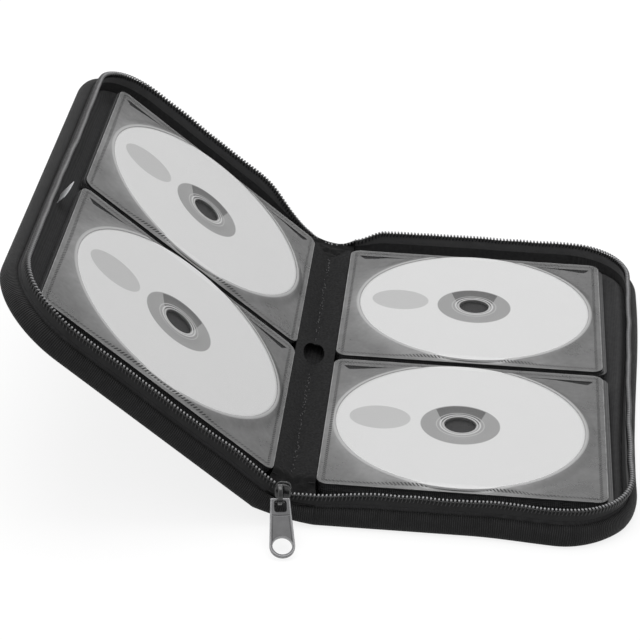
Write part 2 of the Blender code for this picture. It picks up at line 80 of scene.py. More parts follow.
# Floor, backdrop and light
# A white table that shows white to the camera and keeps a soft shadow. A broad lamp above and
# behind lights the folder evenly, with a weaker one from the left front, and the world fills in.
def shader(name, grey, roughness=0.5, metallic=0.0, specular=0.5):
    """A Principled material with its plain values set. Gives the material, its tree and shader."""
    made = bpy.data.materials.new(name)
    made.use_nodes = True
    tree = made.node_tree
    bsdf = tree.nodes["Principled BSDF"]
    bsdf.inputs["Base Color"].default_value = (grey, grey, grey, 1)
    bsdf.inputs["Roughness"].default_value = roughness
    bsdf.inputs["Metallic"].default_value = metallic
    bsdf.inputs["Specular IOR Level"].default_value = specular
    return made, tree, bsdf


class Value:
    """A socket that can be reckoned with: each sum, product or function adds one Math node."""

    def __init__(self, socket):
        self.socket = socket

    def to(self, entry):
        """Link the value to an input."""
        self.socket.id_data.links.new(self.socket, entry)

    def math(self, kind, *others, clamp=False):
        """A Math node of that kind on this value and others, which may be numbers."""
        node = self.socket.id_data.nodes.new("ShaderNodeMath")
        node.operation, node.use_clamp = kind, clamp
        for entry, value in zip(node.inputs, (self, *others)):
            if isinstance(value, Value):
                value.to(entry)
            else:
                entry.default_value = value
        return Value(node.outputs[0])

    def limited(self):
        """The value held between 0 and 1."""
        return self.math("ADD", 0, clamp=True)

    def __add__(self, other):
        return self.math("ADD", other)

    def __sub__(self, other):
        return self.math("SUBTRACT", other)

    def __rsub__(self, number):
        return self * -1 + number

    def __mul__(self, other):
        return self.math("MULTIPLY", other)

    def __abs__(self):
        return self.math("ABSOLUTE")


floor_size = 3.0
corners = [(x * floor_size, y * floor_size, -0.0002) for x, y in ((-1, -1), (1, -1), (1, 1), (-1, 1))]
floor_mesh = bpy.data.meshes.new("floor")
floor_mesh.from_pydata(corners, [], [(0, 1, 2, 3)])
floor = bpy.data.objects.new("floor", floor_mesh)
bpy.context.scene.collection.objects.link(floor)
floor_white, tree, bsdf = shader("floor_white", 0.22, 0.9, specular=0.0)
rays = tree.nodes.new("ShaderNodeLightPath").outputs
seen, glossy, through = (Value(rays[f"Is {kind} Ray"]) for kind in ("Camera", "Glossy", "Transmission"))
bsdf.inputs["Emission Color"].default_value = (1, 1, 1, 1)
seen = seen.math("MAXIMUM", glossy).math("MAXIMUM", through)
(seen * 0.82).to(bsdf.inputs["Emission Strength"])
floor_mesh.materials.append(floor_white)

world = bpy.data.worlds.new("studio")
bpy.context.scene.world = world
world.use_nodes = True
seen = Value(world.node_tree.nodes.new("ShaderNodeLightPath").outputs["Is Camera Ray"])
background = world.node_tree.nodes["Background"]
background.inputs["Color"].default_value = (1, 1, 1, 1)
(seen * 0.4 + 0.6).to(background.inputs["Strength"])


def lamp(name, place, aim, size, power):
    """A square area lamp at a place, turned to face its aim."""
    made = bpy.data.objects.new(name, bpy.data.lights.new(name, "AREA"))
    made.data.size = size
    made.data.energy = power
    toward = unit(np.array(aim, float) - place)
    side = unit(np.cross(toward, (0, 0.001, 1)))
    axes = np.stack([side, np.cross(side, toward), -toward]).T
    rows = [(*row, at) for row, at in zip(axes, place)] + [(0, 0, 0, 1)]
    made.matrix_world = Matrix(rows)
    bpy.context.scene.collection.objects.link(made)


lamp("top_lamp", (-0.15, 0.55, 1.5), (-0.05, 0, 0), 1.3, 12.5)
lamp("left_lamp", (-1.3, -0.7, 0.9), (-0.08, 0, 0.03), 0.9, 2.4)

# Covers
# A board between two layers of nylon, one panel for each half. Its rim is gripped by the edge
# binding, and its spine edge runs a little past the fold, where the spine's skin takes over.
mm = 0.001
fold_right = np.array((-73.75, 0, 6.0))
fold_left = np.array((-94.813, 0, 10.785))
left_tilt, spine_tilt = np.radians([37.3, 12.8])
cover_reach, half_length, corner = 153.0, 147.5, 40.0
rim_height, rim_floor = 16.5, 2.9
sides = ("right", "left")
# The rim sinks beside the spine: how far, and over what run, at the front and at the rear.
dips = {
    "right": ((2.5, 32.0), (6.5, 18.0)),
    "left": ((1.0, 24.0), (9.6, 47.0)),
}


def turned(points, angle, pivot):
    """Points turned about the y axis through a pivot: x by cosine plus z by sine, z the other way."""
    x, y, z = np.moveaxis(points, -1, 0)
    sine, cosine = np.sin(angle), np.cos(angle)
    return np.stack([x * cosine + z * sine, y, z * cosine - x * sine], -1) + pivot


def stacked(*parts):
    """Coordinates, as numbers or arrays, spread to one shape and put together on a last axis."""
    return np.stack(np.broadcast_arrays(*parts), -1)


def smooth(t):
    """The smooth step of t: 3 t squared less 2 t cubed, between 0 and 1."""
    t = np.clip(t, 0, 1)
    return t * t * (3 - 2 * t)


def slanted(x, y, z):
    """The right half's soft outer wall: out of square, nearer the spine towards the front.

    The shift grows outward and towards the front, and is less at the zipper than at the cover.
    The front corner also bulges forward a little.
    """
    far = smooth((x - 70) / 75)
    drop = 1 - 0.5 * np.clip(z / rim_height, 0, 1)
    x_shift = far * (1.5 - 7.5 * smooth((95 - y) / 190)) * drop
    y_shift = -4.0 * smooth((x - 70) / 55) * smooth((-y - 100) / 30) * drop
    return x + x_shift, y + y_shift


def in_row(side, points, wall=False):
    """Half-frame points in the row frame, still in millimetres. The left half is the mirror image.

    wall is for the pieces of the cover and its walls, which slant on the right half.
    """
    x, y, z = np.moveaxis(np.asarray(points, float), -1, 0)
    if side == "right":
        if wall:
            x, y = slanted(x, y, z)
        return np.stack([x - 72.75, y, z], -1)
    return turned(np.stack([-(x + 1), y, z - 6], -1), left_tilt, fold_left)


def on_spine(points):
    """Points of the spine's own frame, which hangs on the right fold, in the row frame."""
    return turned(np.asarray(points, float), spine_tilt, fold_right)


def ripple(t, seed):
    """A gentle unevenness along t: five sines with seeded phases and lengths, about -1 to 1."""
    dice = np.random.default_rng(seed)
    total = 0
    for k in range(1, 6):
        total = total + np.sin(t * dice.uniform(0.5, 2.2) * k + dice.uniform(0, 6.28)) / k
    return total / 1.6


def surface(name, grid, look, slot, closed=False, uv=None):
    """A tube of a grid of row-frame points in millimetres, rows along it and columns round it.

    closed joins the last row to the first. An open tube's two ends are closed with strips of
    quads. The UV map holds metres along and across, unless uv gives (rows, columns, 2) of its
    own in millimetres.
    """
    rows, columns = grid.shape[:2]
    i, j = (part.ravel() for part in np.indices((rows if closed else rows - 1, columns)))
    near, far, k = i * columns, (i + 1) % rows * columns, (j + 1) % columns
    quads = np.stack([near + j, far + j, far + k, near + k], -1)
    along, across = lengths(grid.mean(1)), lengths(grid[rows // 2])
    spots = [np.stack([along[i + a], across[j + b]], -1) for a, b in ((0, 0), (1, 0), (1, 1), (0, 1))]
    places = np.stack(spots, 1)
    if not closed:
        k = np.arange(columns // 2 - 1)
        cap = np.stack([k, k + 1, columns - 2 - k, columns - 1 - k], -1)
        caps = np.concatenate([cap, cap[:, ::-1] + (rows - 1) * columns])
        spots = np.stack([np.zeros(caps.shape), across[caps % columns]], -1)
        spots[len(cap):, :, 0] = along[rows - 1]
        spots[:, 2:, 0] += 0.5
        quads, places = np.concatenate([quads, caps]), np.concatenate([places, spots])
    if uv is not None:
        places = uv.reshape(-1, 2)[quads]
    points = grid.reshape(-1, 3)
    if inward(points, quads):
        quads, places = quads[:, ::-1], places[:, ::-1]
    return solid(name, points, quads, places * mm, look)


def lengths(line):
    """The running length along a line of points that ends where it began."""
    steps = np.linalg.norm(np.roll(line, -1, 0) - line, axis=1)
    return np.concatenate([[0], np.cumsum(steps)])


def inward(points, quads):
    """True where the volume that the quads enclose comes out negative."""
    a, b, c, d = (points[quads[:, k]] - points[0] for k in range(4))
    return (a * (np.cross(b, c) + np.cross(c, d))).sum() < 0


def solid(name, points, faces, uv, look):
    """A smooth-shaded object of millimetre points, quads and their corners' UVs in metres."""
    mesh = bpy.data.meshes.new(name)
    mesh.from_pydata((points * mm).tolist(), [], faces.tolist())
    mesh.uv_layers.new(name="UVMap").data.foreach_set("uv", uv.reshape(-1).astype(np.float32))
    mesh.polygons.foreach_set("use_smooth", np.ones(len(faces), bool))
    mesh.set_sharp_from_angle(angle=np.radians(50))
    mesh.materials.append(look)
    made = bpy.data.objects.new(name, mesh)
    bpy.context.scene.collection.objects.link(made)
    return made


def on_half(side, name, node, grid, look, slot, wall=False, **more):
    """A piece of one half, drawn in the half frame: its surface, the node it replaces, its body."""
    piece = surface(f"{side}_{name}", in_row(side, grid, wall), look, slot, **more)
    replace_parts(piece, f"{side}_{node}")
    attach(piece, side + "_half")
    return piece


def follow(tree, kind="UV"):
    """The three coordinates of the UV map or of Object space, in metres."""
    place = tree.nodes.new("ShaderNodeTexCoord")
    split = tree.nodes.new("ShaderNodeSeparateXYZ")
    tree.links.new(place.outputs[kind], split.inputs[0])
    return [Value(axis) for axis in split.outputs]


def waves(coordinate, pitch):
    """A sine from 0 to 1 along a coordinate in metres, one wave to each pitch in millimetres."""
    return (coordinate * (2 * np.pi / (pitch * mm))).math("SINE") * 0.5 + 0.5


def grain(tree, size, detail=3.0, kind="Object"):
    """Noise from 0 to 1 whose features are about that many millimetres across."""
    place = tree.nodes.new("ShaderNodeTexCoord")
    noise = tree.nodes.new("ShaderNodeTexNoise")
    noise.inputs["Scale"].default_value = 1 / (size * mm)
    noise.inputs["Detail"].default_value = detail
    tree.links.new(place.outputs[kind], noise.inputs["Vector"])
    return Value(noise.outputs["Fac"])


def over(under, mask, grey, blue=1.0):
    """A grey laid over a grey or a colour socket where the mask is 1. blue scales the blue part."""
    tree = mask.socket.id_data
    mix = tree.nodes.new("ShaderNodeMix")
    mix.data_type = "RGBA"
    mask.to(mix.inputs["Factor"])
    if isinstance(under, bpy.types.NodeSocket):
        tree.links.new(under, mix.inputs[6])
    else:
        mix.inputs[6].default_value = (under, under, under * blue, 1)
    mix.inputs[7].default_value = (grey, grey, grey * blue, 1)
    return mix.outputs[2]


def shades(bsdf, share, dark, pale):
    """Base colour between two greys, a little cool, by a share from 0 to 1."""
    bsdf.id_data.links.new(over(dark, share, pale, 1.02), bsdf.inputs["Base Color"])


def bump(bsdf, height, distance, strength=1.0):
    """Bump from a height between 0 and 1 over a distance in millimetres."""
    made = bsdf.id_data.nodes.new("ShaderNodeBump")
    made.inputs["Strength"].default_value = strength
    made.inputs["Distance"].default_value = distance * mm
    height.to(made.inputs["Height"])
    bsdf.id_data.links.new(made.outputs[0], bsdf.inputs["Normal"])


def woven(name, dark, pale, pitch, roughness=0.85):
    """A plain-weave cloth: two crossed sines for the threads, with noise for their unevenness."""
    made, tree, bsdf = shader(name, dark, roughness, specular=0.15)
    x, y, _ = follow(tree, "Object")
    cloth = grain(tree, 2.4) * 0.6 + waves(x, pitch) * waves(y, pitch) * 0.5
    shades(bsdf, cloth, dark, pale)
    bump(bsdf, cloth, 0.12, 0.8)
    bsdf.inputs["Sheen Weight"].default_value = 0.04
    bsdf.inputs["Sheen Roughness"].default_value = 0.4
    return made


nylon = woven("cover_nylon", 0.012, 0.034, 0.55)


def panel(start, inset, low, high, round_off, rows=72):
    """A closed slab of a half's outline: at each x the y range ends at the corner's circle.

    The profile goes along the underside and back along the top, with both edges eased by round_off.
    """
    reach = corner - inset
    side_x, side_y = cover_reach - corner, half_length - corner
    turn = np.linspace(0, np.pi / 2, rows // 2)
    x = np.concatenate([np.linspace(start, side_x, rows // 2)[:-1], side_x + reach * np.sin(turn)])
    depth = np.clip(x - side_x, 0, reach)
    wide = side_y + np.sqrt(np.maximum(reach**2 - depth**2, 0))
    t = np.linspace(-1, 1, 41)
    ease = round_off * np.clip(1 - (1 - np.abs(t)) * 20, 0, 1) ** 2
    x_ease = round_off * np.clip(1 - (x[-1] - x) / 1.5, 0, 1)[:, None] ** 2
    y = wide[:, None] * t
    bottom = stacked(x[:, None], y, low + ease + x_ease)
    top = stacked(x[:, None], y, high - ease - x_ease)
    return np.concatenate([bottom, top[:, ::-1]], 1)


def add_cover(side):
    """The nylon panel of one half, over its board."""
    slab = panel(-3.5, 3.6, 0.0, 2.6, 0.5)
    on_half(side, "cover_panel", "cover", slab, nylon, "cover_nylon", True)


for side in sides:
    add_cover(side)

# Edge binding
# A ribbed tape rolled over the raw edges of cover and gusset and sewn through, so that it makes
# a soft round wall all along the three open sides. Its ribs run across it, about one a millimetre.
def rim_path(step, front=1.0):
    """Stations round the three open sides: the corner centre each keeps to, and its angle.

    The front straight starts at x = front and the rear one ends at x = 1.
    """
    side_x, side_y, quarter = cover_reach - corner, half_length - corner, np.pi / 2
    stops = [
        (front, -side_y, -quarter),
        (side_x, -side_y, -quarter),
        (side_x, -side_y, 0),
        (side_x, side_y, 0),
        (side_x, side_y, quarter),
        (1.0, side_y, quarter),
    ]
    parts = []
    for a, b in zip(stops, stops[1:]):
        run = np.hypot(b[0] - a[0], b[1] - a[1]) + abs(b[2] - a[2]) * (corner - 5.5)
        t = np.arange(max(1, round(run / step))) / max(1, round(run / step))
        parts.append(np.array(a) + t[:, None] * (np.array(b) - a))
    return np.concatenate(parts + [np.array(stops[-1:])])


def along_rim(side, path, profile):
    """A profile of (inset, height) carried along the stations, in the half frame.

    A point lies at the corner radius less its inset from the station's centre. The higher it is,
    the more it follows the rim's dips beside the spine and its slight unevenness.
    """
    x, y, angle = (part[:, None] for part in path.T)
    inset, height = profile[..., 0], profile[..., 1]
    (front, front_run), (rear, rear_run) = dips[side]
    drop = np.where(y < 0, front * smooth(1 - x / front_run), rear * smooth(1 - x / rear_run))
    share = np.clip(height - rim_floor, 0, None) / (rim_height - rim_floor)
    run = (np.sign(-y) * (x - cover_reach + corner) + y + angle * 30) / 26
    seed = 3 if side == "right" else 8
    sway = 0.45 * ripple(run, seed) * share**1.3 * smooth(x / 25 - 0.1)
    lift = 0.35 * ripple(run, seed + 1) * share * smooth(x / 25 - 0.1)
    reach = corner - inset - sway
    return stacked(x + reach * np.cos(angle), y + reach * np.sin(angle), height - drop * share + lift)


def ribbed_tape():
    """The binding's ribbed weave: dark grooves across the band at each pitch along it."""
    made, tree, bsdf = shader("binding_tape", 0.03, 0.66, specular=0.22)
    along, across, _ = follow(tree)
    ribs = waves(grain(tree, 9.0) * 0.0009 + along, 0.98)
    shades(bsdf, (ribs * (grain(tree, 4.0) * 1.5 + 0.1)).limited(), 0.005, 0.034)
    bump(bsdf, waves(across, 0.7) * 0.12 + ribs, 0.26)
    bsdf.inputs["Sheen Weight"].default_value = 0.05
    return made


ribbed = ribbed_tape()
binding_profile = np.array(
    [
        (3.7, 0.0), (2.3, 0.02), (1.2, 0.35), (0.45, 1.05), (0.08, 2.1), (0.0, 3.3), (0.12, 4.6),
        (0.42, 5.9), (1.0, 7.1), (1.9, 8.15), (3.0, 8.85), (4.1, 9.15), (4.7, 8.95), (4.75, 8.2),
        (4.7, 6.5), (4.65, 4.6), (4.6, 2.9), (3.7, 2.9), (3.7, 2.0), (3.7, 1.0),
    ]
)


def add_binding(side):
    """The rolled tape of one half, swept round its three sides."""
    band = along_rim(side, rim_path(2.5), binding_profile)
    on_half(side, "binding_roll", "edge_binding", band, ribbed, "binding_tape", True)


for side in sides:
    add_binding(side)

# Gusset walls
# A low strip of black cloth that stands inside the binding on the three open sides and carries
# the zipper tape. It is soft, so it leans and ripples a little.
gusset_black = woven("gusset_fabric", 0.022, 0.065, 0.7)
# A darker copy of the gusset cloth, painted shade for the folds and the crossing tape inside the spine's
# ends.
shaded_gusset_black = woven("gathered_fabric_painted_shade", 0.004, 0.016, 0.7)


def standing_strip(inset, thickness, low, high, crown):
    """The closed profile of a thin standing strip: up its outer face and down its inner one.

    crown is how far its middle swells outward, by half a sine.
    """
    z = np.linspace(low, high, 7)
    belly = crown * np.sin(np.linspace(0, np.pi, 7))
    outer = np.stack([inset - belly, z], -1)
    inner = np.stack([inset + thickness - belly, z], -1)
    return np.concatenate([outer, inner[::-1]])


def add_wall(side):
    """The gusset of one half, swollen outward a little between the binding and the tape."""
    strip = along_rim(side, rim_path(2.5), standing_strip(4.85, 1.2, 3.0, 10.6, 0.25))
    wall = on_half(side, "gusset_strip", "gusset_wall", strip, gusset_black, "gusset_fabric", True)
    side + "_cover_panel"


for side in sides:
    add_wall(side)

# Zipper tapes
# The woven tape of the zipper, sewn on top of the gusset and folded over at its upper edge,
# where the teeth sit. At the front the right one runs on across the spine to the slider.
def tape_cloth():
    """The tape's twill: fine slanted ribs, and an inner face painted paler, as painted light on the shaded
    inside of the wall.
    """
    made, tree, bsdf = shader("zipper_tape", 0.02, 0.7, specular=0.3)
    along, across, _ = follow(tree)
    twill = waves(across * 0.6 + along, 0.6)
    # The inside face is painted paler: painted light where the wall is in shade.
    inner = across.math("GREATER_THAN", 6.3 * mm)
    shades(bsdf, (inner * 0.55 + twill * grain(tree, 6.0) * 0.45).limited(), 0.015, 0.12)
    bump(bsdf, twill, 0.08, 0.7)
    bsdf.inputs["Sheen Weight"].default_value = 0.1
    return made


tape_black = tape_cloth()
tape_strip = standing_strip(4.95, 1.0, 9.2, 15.0, -0.15)


def add_tape(side):
    """The tape of one half."""
    front = -11.0 if side == "right" else 0.5
    strip = along_rim(side, rim_path(2.5, front), tape_strip)
    tape = on_half(side, "tape_strip", "zipper_tape", strip, tape_black, "zipper_tape", True)
    side + "_gusset_strip"


for side in sides:
    add_tape(side)

# Zipper teeth
# A coil of nylon thread sewn along the tape's edge: each turn is a slim loop over the edge with
# a head and two legs slanting down the tape, 1.8 mm apart. The crest of each head is painted
# pale as a highlight.
tooth_pitch = 1.8


def nylon_coil():
    """Black nylon with a painted highlight on the heads: the tone rises with the map's across value."""
    made, tree, bsdf = shader("zipper_coil", 0.05, 0.32, specular=0.6)
    _, across, _ = follow(tree)
    # The crest ring is painted pale as a highlight; the legs stay dark.
    painted_crest_highlight = (across * 1000).limited()
    shades(bsdf, (painted_crest_highlight * (grain(tree, 1.2) * 0.5 + 0.75)).limited(), 0.010, 0.40)
    return made


coil_look = nylon_coil()
six_round = np.linspace(0, 2 * np.pi, 6, endpoint=False)


def tooth_grid():
    """One tooth as a bent tube: arcs over the edge, with legs, each ring an oval across the loop.

    Gives offsets (9 steps, 6, 3) along the path, outward and up from the crest line, and each
    step's share of the painted highlight on the crest.
    """
    t = np.linspace(-1, 1, 9)
    turn = np.clip(t / 0.5, -1, 1) * np.pi / 2
    leg = np.clip(np.abs(t) - 0.5, 0, None) / 0.5
    outward = -np.sin(turn) * (1.0 + 0.05 * leg)
    up = -0.95 + np.cos(turn) * 0.55 - leg * 1.9
    shift = -0.75 * leg * np.sign(-t)
    wide, thick = (0.47 - 0.12 * leg)[:, None], (0.38 - 0.1 * leg)[:, None] * np.sin(six_round)
    ring = stacked(wide * np.cos(six_round), -np.sin(turn)[:, None] * thick, np.cos(turn)[:, None] * thick)
    return np.stack([shift, outward, up], -1)[:, None] + ring, np.exp(-((t / 0.22) ** 2))


def like_tubes(name, points, across, look):
    """Many like six-sided tubes as one mesh: the faces of the first, numbered on for the others.

    points is (tubes, steps, 6, 3). across is the UV map's second value at each step, in millimetres.
    """
    count, steps = points.shape[:2]
    i, j = (part.ravel() for part in np.indices((steps - 1, 6)))
    k = (j + 1) % 6
    quads = np.stack([i * 6 + j, (i + 1) * 6 + j, (i + 1) * 6 + k, i * 6 + k], -1)
    caps = np.array([(0, 1, 2, 3), (0, 3, 4, 5)])
    quads = np.concatenate([quads, caps, caps[:, ::-1] + (steps - 1) * 6])
    if inward(points[0].reshape(-1, 3), quads):
        quads = quads[:, ::-1]
    uv = np.stack([np.zeros(quads.shape), np.repeat(across, 6)[quads]], -1) * mm
    faces = quads[None] + (np.arange(count) * steps * 6)[:, None, None]
    all_uv = np.broadcast_to(uv, (count, *uv.shape))
    return solid(name, points.reshape(-1, 3), faces.reshape(-1, 4), all_uv, look)


def teeth(name, crest, tangent, outward, up):
    """Teeth set at crest points, each turned to its own three directions, as one mesh."""
    loop, crest_highlight = tooth_grid()
    axes = np.stack([tangent, outward, up], 1)
    points = crest[:, None, None] + np.einsum("rcd,ndk->nrck", loop, axes)
    return like_tubes(name, points, crest_highlight, coil_look)


def add_teeth(side):
    """The teeth of one half, on the crest line above the tape."""
    path = rim_path(tooth_pitch, -10.3 if side == "right" else 0.5)
    marks = np.array([(5.45, rim_height), (6.45, rim_height), (5.45, rim_height - 1)])
    line = in_row(side, along_rim(side, path, marks), True)
    crest = line[:, 0]
    tangent = unit(np.gradient(crest, axis=0))
    up = crest - line[:, 2]
    up = unit(up - (up * tangent).sum(1)[:, None] * tangent)
    outward = np.cross(tangent, up)
    outward *= np.sign((outward * (crest - line[:, 1])).sum(1))[:, None]
    coil = teeth(side + "_coil_teeth", crest, tangent, outward, up)
    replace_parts(coil, side + "_zipper_coil")
    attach(coil, side + "_half")


for side in sides:
    add_teeth(side)

# Linings
# The inside of each cover is lined with thin dark cloth over a board. The cloth turns up where
# it meets the gusset, in a soft puffed edge.
lining_cloth = woven("lining_fabric", 0.028, 0.075, 0.8, roughness=0.9)


def add_lining(side):
    """The lining of one half: a thin slab whose top swells by a millimetre or two near the wall."""
    slab = panel(1.6, 6.4, 2.9, 3.9, 0.2, rows=96)
    x, y = slab[..., 0], slab[..., 1]
    side_x, side_y, reach = cover_reach - corner, half_length - corner, corner - 6.4
    off = np.hypot(np.clip(x - side_x, 0, None), np.clip(np.abs(y) - side_y, 0, None))
    edge = np.where(x > side_x, reach - off, reach - np.clip(np.abs(y) - side_y, 0, None))
    puff = 2.6 * np.exp(-((edge - 3.2) / 3.0) ** 2) + 0.35 * ripple(x / 17 + y / 23, 5)
    slab[..., 2] += np.where(slab[..., 2] > 3.4, np.clip(puff, 0, None) * smooth(edge / 1.5), 0)
    on_half(side, "lining_cloth", "lining", slab, lining_cloth, "lining_fabric", True)


for side in sides:
    add_lining(side)

# Page stacks
# The closed sleeves below the open one, thin welded leaves of hazy film and non-woven cloth.
# Their outer edges don't line up, so a fan of pale edges shows beside the top sleeve.
sleeve_width, sleeve_length, sleeve_split, sleeve_corner = 133.8, 124.0, 4.6, 5
backing_floor, leaf_pitch = 9.88, 0.93
ends = {"rear": 1, "front": -1}
leaf_count = {"right": 6, "left": 4}


def sleeve_low(end):
    """The low y of the front or rear sleeve."""
    return sleeve_split / 2 if end == "rear" else -sleeve_split / 2 - sleeve_length


def round_ends(low_x, high_x, radius, columns, corner_steps=6):
    """The x of a round-cornered plate's columns, and how much the circle shortens each at its ends."""
    t = np.linspace(0, np.pi / 2, corner_steps)
    straight = np.linspace(low_x + radius, high_x - radius, columns)[1:-1]
    x = np.concatenate([low_x + radius * (1 - np.cos(t)), straight, high_x - radius * (1 - np.sin(t))])
    near = np.clip(np.minimum(x - low_x, high_x - x) / radius, 0, 1)
    return x, radius * (1 - np.sqrt(np.clip(1 - (1 - near) ** 2, 0, 1)))


def leaf_grid(low_x, high_x, low_y, high_y, floor, top, radius, columns=25, rows=17):
    """A thin plate with round corners: each column's y range shrinks near the ends by the circle.

    floor and top are heights, or functions of x and y that give them.
    """
    x, short = round_ends(low_x, high_x, radius, columns)
    v = np.linspace(0, 1, rows)
    y = (low_y + short)[:, None] + v * (high_y - low_y - 2 * short)[:, None]
    x = x[:, None]
    faces = [stacked(x, y, z(x, y) if callable(z) else z) for z in (floor, top)]
    return np.concatenate([faces[0], faces[1][:, ::-1]], 1)


def page_film():
    """Hazy soft plastic on cloth: pale grey, streaked along the page edges, with a dull gloss."""
    made, tree, bsdf = shader("page_film", 0.2, 0.38)
    x, _, _ = follow(tree, "Object")
    shades(bsdf, waves(x, 0.9) * grain(tree, 3.0), 0.03, 0.15)
    bump(bsdf, grain(tree, 5.0), 0.15, 0.5)
    return made


stack_look = page_film()


def add_stack(side, end):
    """The stack of one sleeve: separate leaves, each shifted by its own small amount."""
    low = sleeve_low(end)
    leaves = leaf_count[side]
    dice = np.random.default_rng(11 + leaves + ends[end])
    for leaf in range(leaves):
        floor = backing_floor - 0.3 - leaf_pitch * (leaves - leaf)
        far_x = sleeve_width + (dice.uniform(0.7, 2.4) if side == "right" else dice.uniform(0.1, 0.8))
        shift = dice.uniform(0, 0.7, 2)
        ends_y = low + shift[0], low + sleeve_length - shift[1]
        grid = leaf_grid(0.3, far_x, *ends_y, floor + 0.1, floor + leaf_pitch - 0.1, sleeve_corner, 7, 5)
        on_half(side, f"{end}_leaf_{leaf + 1}", end + "_page_stack", grid, stack_look, "page_film")


for side in sides:
    for end in ends:
        add_stack(side, end)

# Sleeve backings
# The dark non-woven sheet that backs each open sleeve and protects the disc's mirror side.
backing_dark = woven("sleeve_backing", 0.022, 0.05, 1.3, roughness=0.9)


def add_backing(side, end):
    """The backing sheet of one sleeve, flat on the stack."""
    low = sleeve_low(end)
    heights = backing_floor, backing_floor + 0.5
    grid = leaf_grid(0, sleeve_width, low, low + sleeve_length, *heights, sleeve_corner)
    names = (end + "_backing_sheet", end + "_sleeve_backing")
    backing = on_half(side, *names, grid, backing_dark, "sleeve_backing")


for side in sides:
    for end in ends:
        add_backing(side, end)

# Discs
# Four plain white 120 mm discs. The printed face stops at the clear plastic hub, which shows
# grey, with a moulded ring round the 15 mm hole. Each has a plain pale oval to write on.
disc_shift = {
    ("right", "rear"): (1.1, -0.9),
    ("right", "front"): (-2.5, -1.0),
    ("left", "rear"): (1.0, -1.0),
    ("left", "front"): (-0.8, 1.0),
}
disc_floor, disc_thick, disc_radius = 11.33, 1.2, 60.0


def disc_center(side, end):
    """The centre of the disc of one sleeve, in the half frame."""
    off_x, off_y = disc_shift[side, end]
    return sleeve_width / 2 + off_x, sleeve_low(end) + sleeve_length / 2 + off_y


def hypotenuse(x, y):
    """The root of the sum of two squares."""
    return (x * x + y * y).math("SQRT")


def within(value, edge, soft):
    """1 where a value in metres is below the edge, 0 above it, changing over soft, both in mm."""
    return ((edge * mm - value) * (1 / (soft * mm)) + 0.5).limited()


def disc_face():
    """White print outside the hub; grey hub with pale moulded rings and a darker clear window."""
    made, tree, bsdf = shader("disc_white", 0.76, 0.3, specular=0.4)
    x, y, _ = follow(tree)
    radius = hypotenuse(x, y)
    oval = hypotenuse(x * (1 / 14.6) + 38.5 * mm / 14.6, y * (1 / 11.3) - 2.4 * mm / 11.3)
    color = over(0.765, grain(tree, 25.0, kind="UV") * 0.5 + 0.25, 0.735)
    color = over(color, within(oval, 1.0, 0.03), 0.54)
    color = over(color, within(radius, 19.0, 0.35), 0.33)
    window = within(abs(x) - y * 0.27, 8.2, 0.3) * within(y * -1, 0.0, 0.3)
    color = over(color, window * within(radius, 18.4, 0.35), 0.10)
    for ring, width, grey in ((11.4, 0.5, 0.5), (9.6, 0.7, 0.62), (8.2, 0.7, 0.55)):
        color = over(color, within(abs(radius - ring * mm), width / 2, 0.3), grey)
    tree.links.new(color, bsdf.inputs["Base Color"])
    bump(bsdf, waves(radius, 0.9) * within(radius, 19.0, 0.5), 0.05, 0.5)
    return made


disc_look = disc_face()


def add_disc(side, end):
    """A disc: its section, with eased rims and the moulded stacking ring, turned about its axis."""
    cx, cy = disc_center(side, end)
    low, top = disc_floor, disc_floor + disc_thick
    section = np.array(
        [
            (7.5, low + 0.15), (7.5, top - 0.15), (7.65, top), (9.0, top), (9.3, top + 0.12),
            (9.9, top + 0.12), (10.2, top), (17, top), (19, top), (30, top), (45, top), (58, top),
            (59.8, top), (disc_radius, top - 0.15), (disc_radius, low + 0.15), (59.8, low), (45, low),
            (30, low), (16.5, low), (7.65, low),
        ]
    )
    spin = np.linspace(0, 2 * np.pi, 144, endpoint=False)[:, None]
    x, y = section[:, 0] * np.cos(spin), section[:, 0] * np.sin(spin)
    uv = np.stack([x if side == "right" else -x, y], -1)
    grid = stacked(x + cx, y + cy, section[:, 1])
    on_half(side, end + "_disc_face", end + "_disc", grid, disc_look, "disc_white", closed=True, uv=uv)


for side in sides:
    for end in ends:
        add_disc(side, end)

# Sleeve films
# The clear pocket of each open sleeve, welded to its backing by a dotted line all round. It
# clings over the disc, rises to it in a ramp, and has a slit near its rear edge. The ramp is
# painted pale as painted light, most on the front spine side, and a pale band is painted round
# the disc's edge.
film_base, film_thick, film_gap = 10.68, 0.16, 0.1
slit_inset, slit_margin = 6.4, 6.0


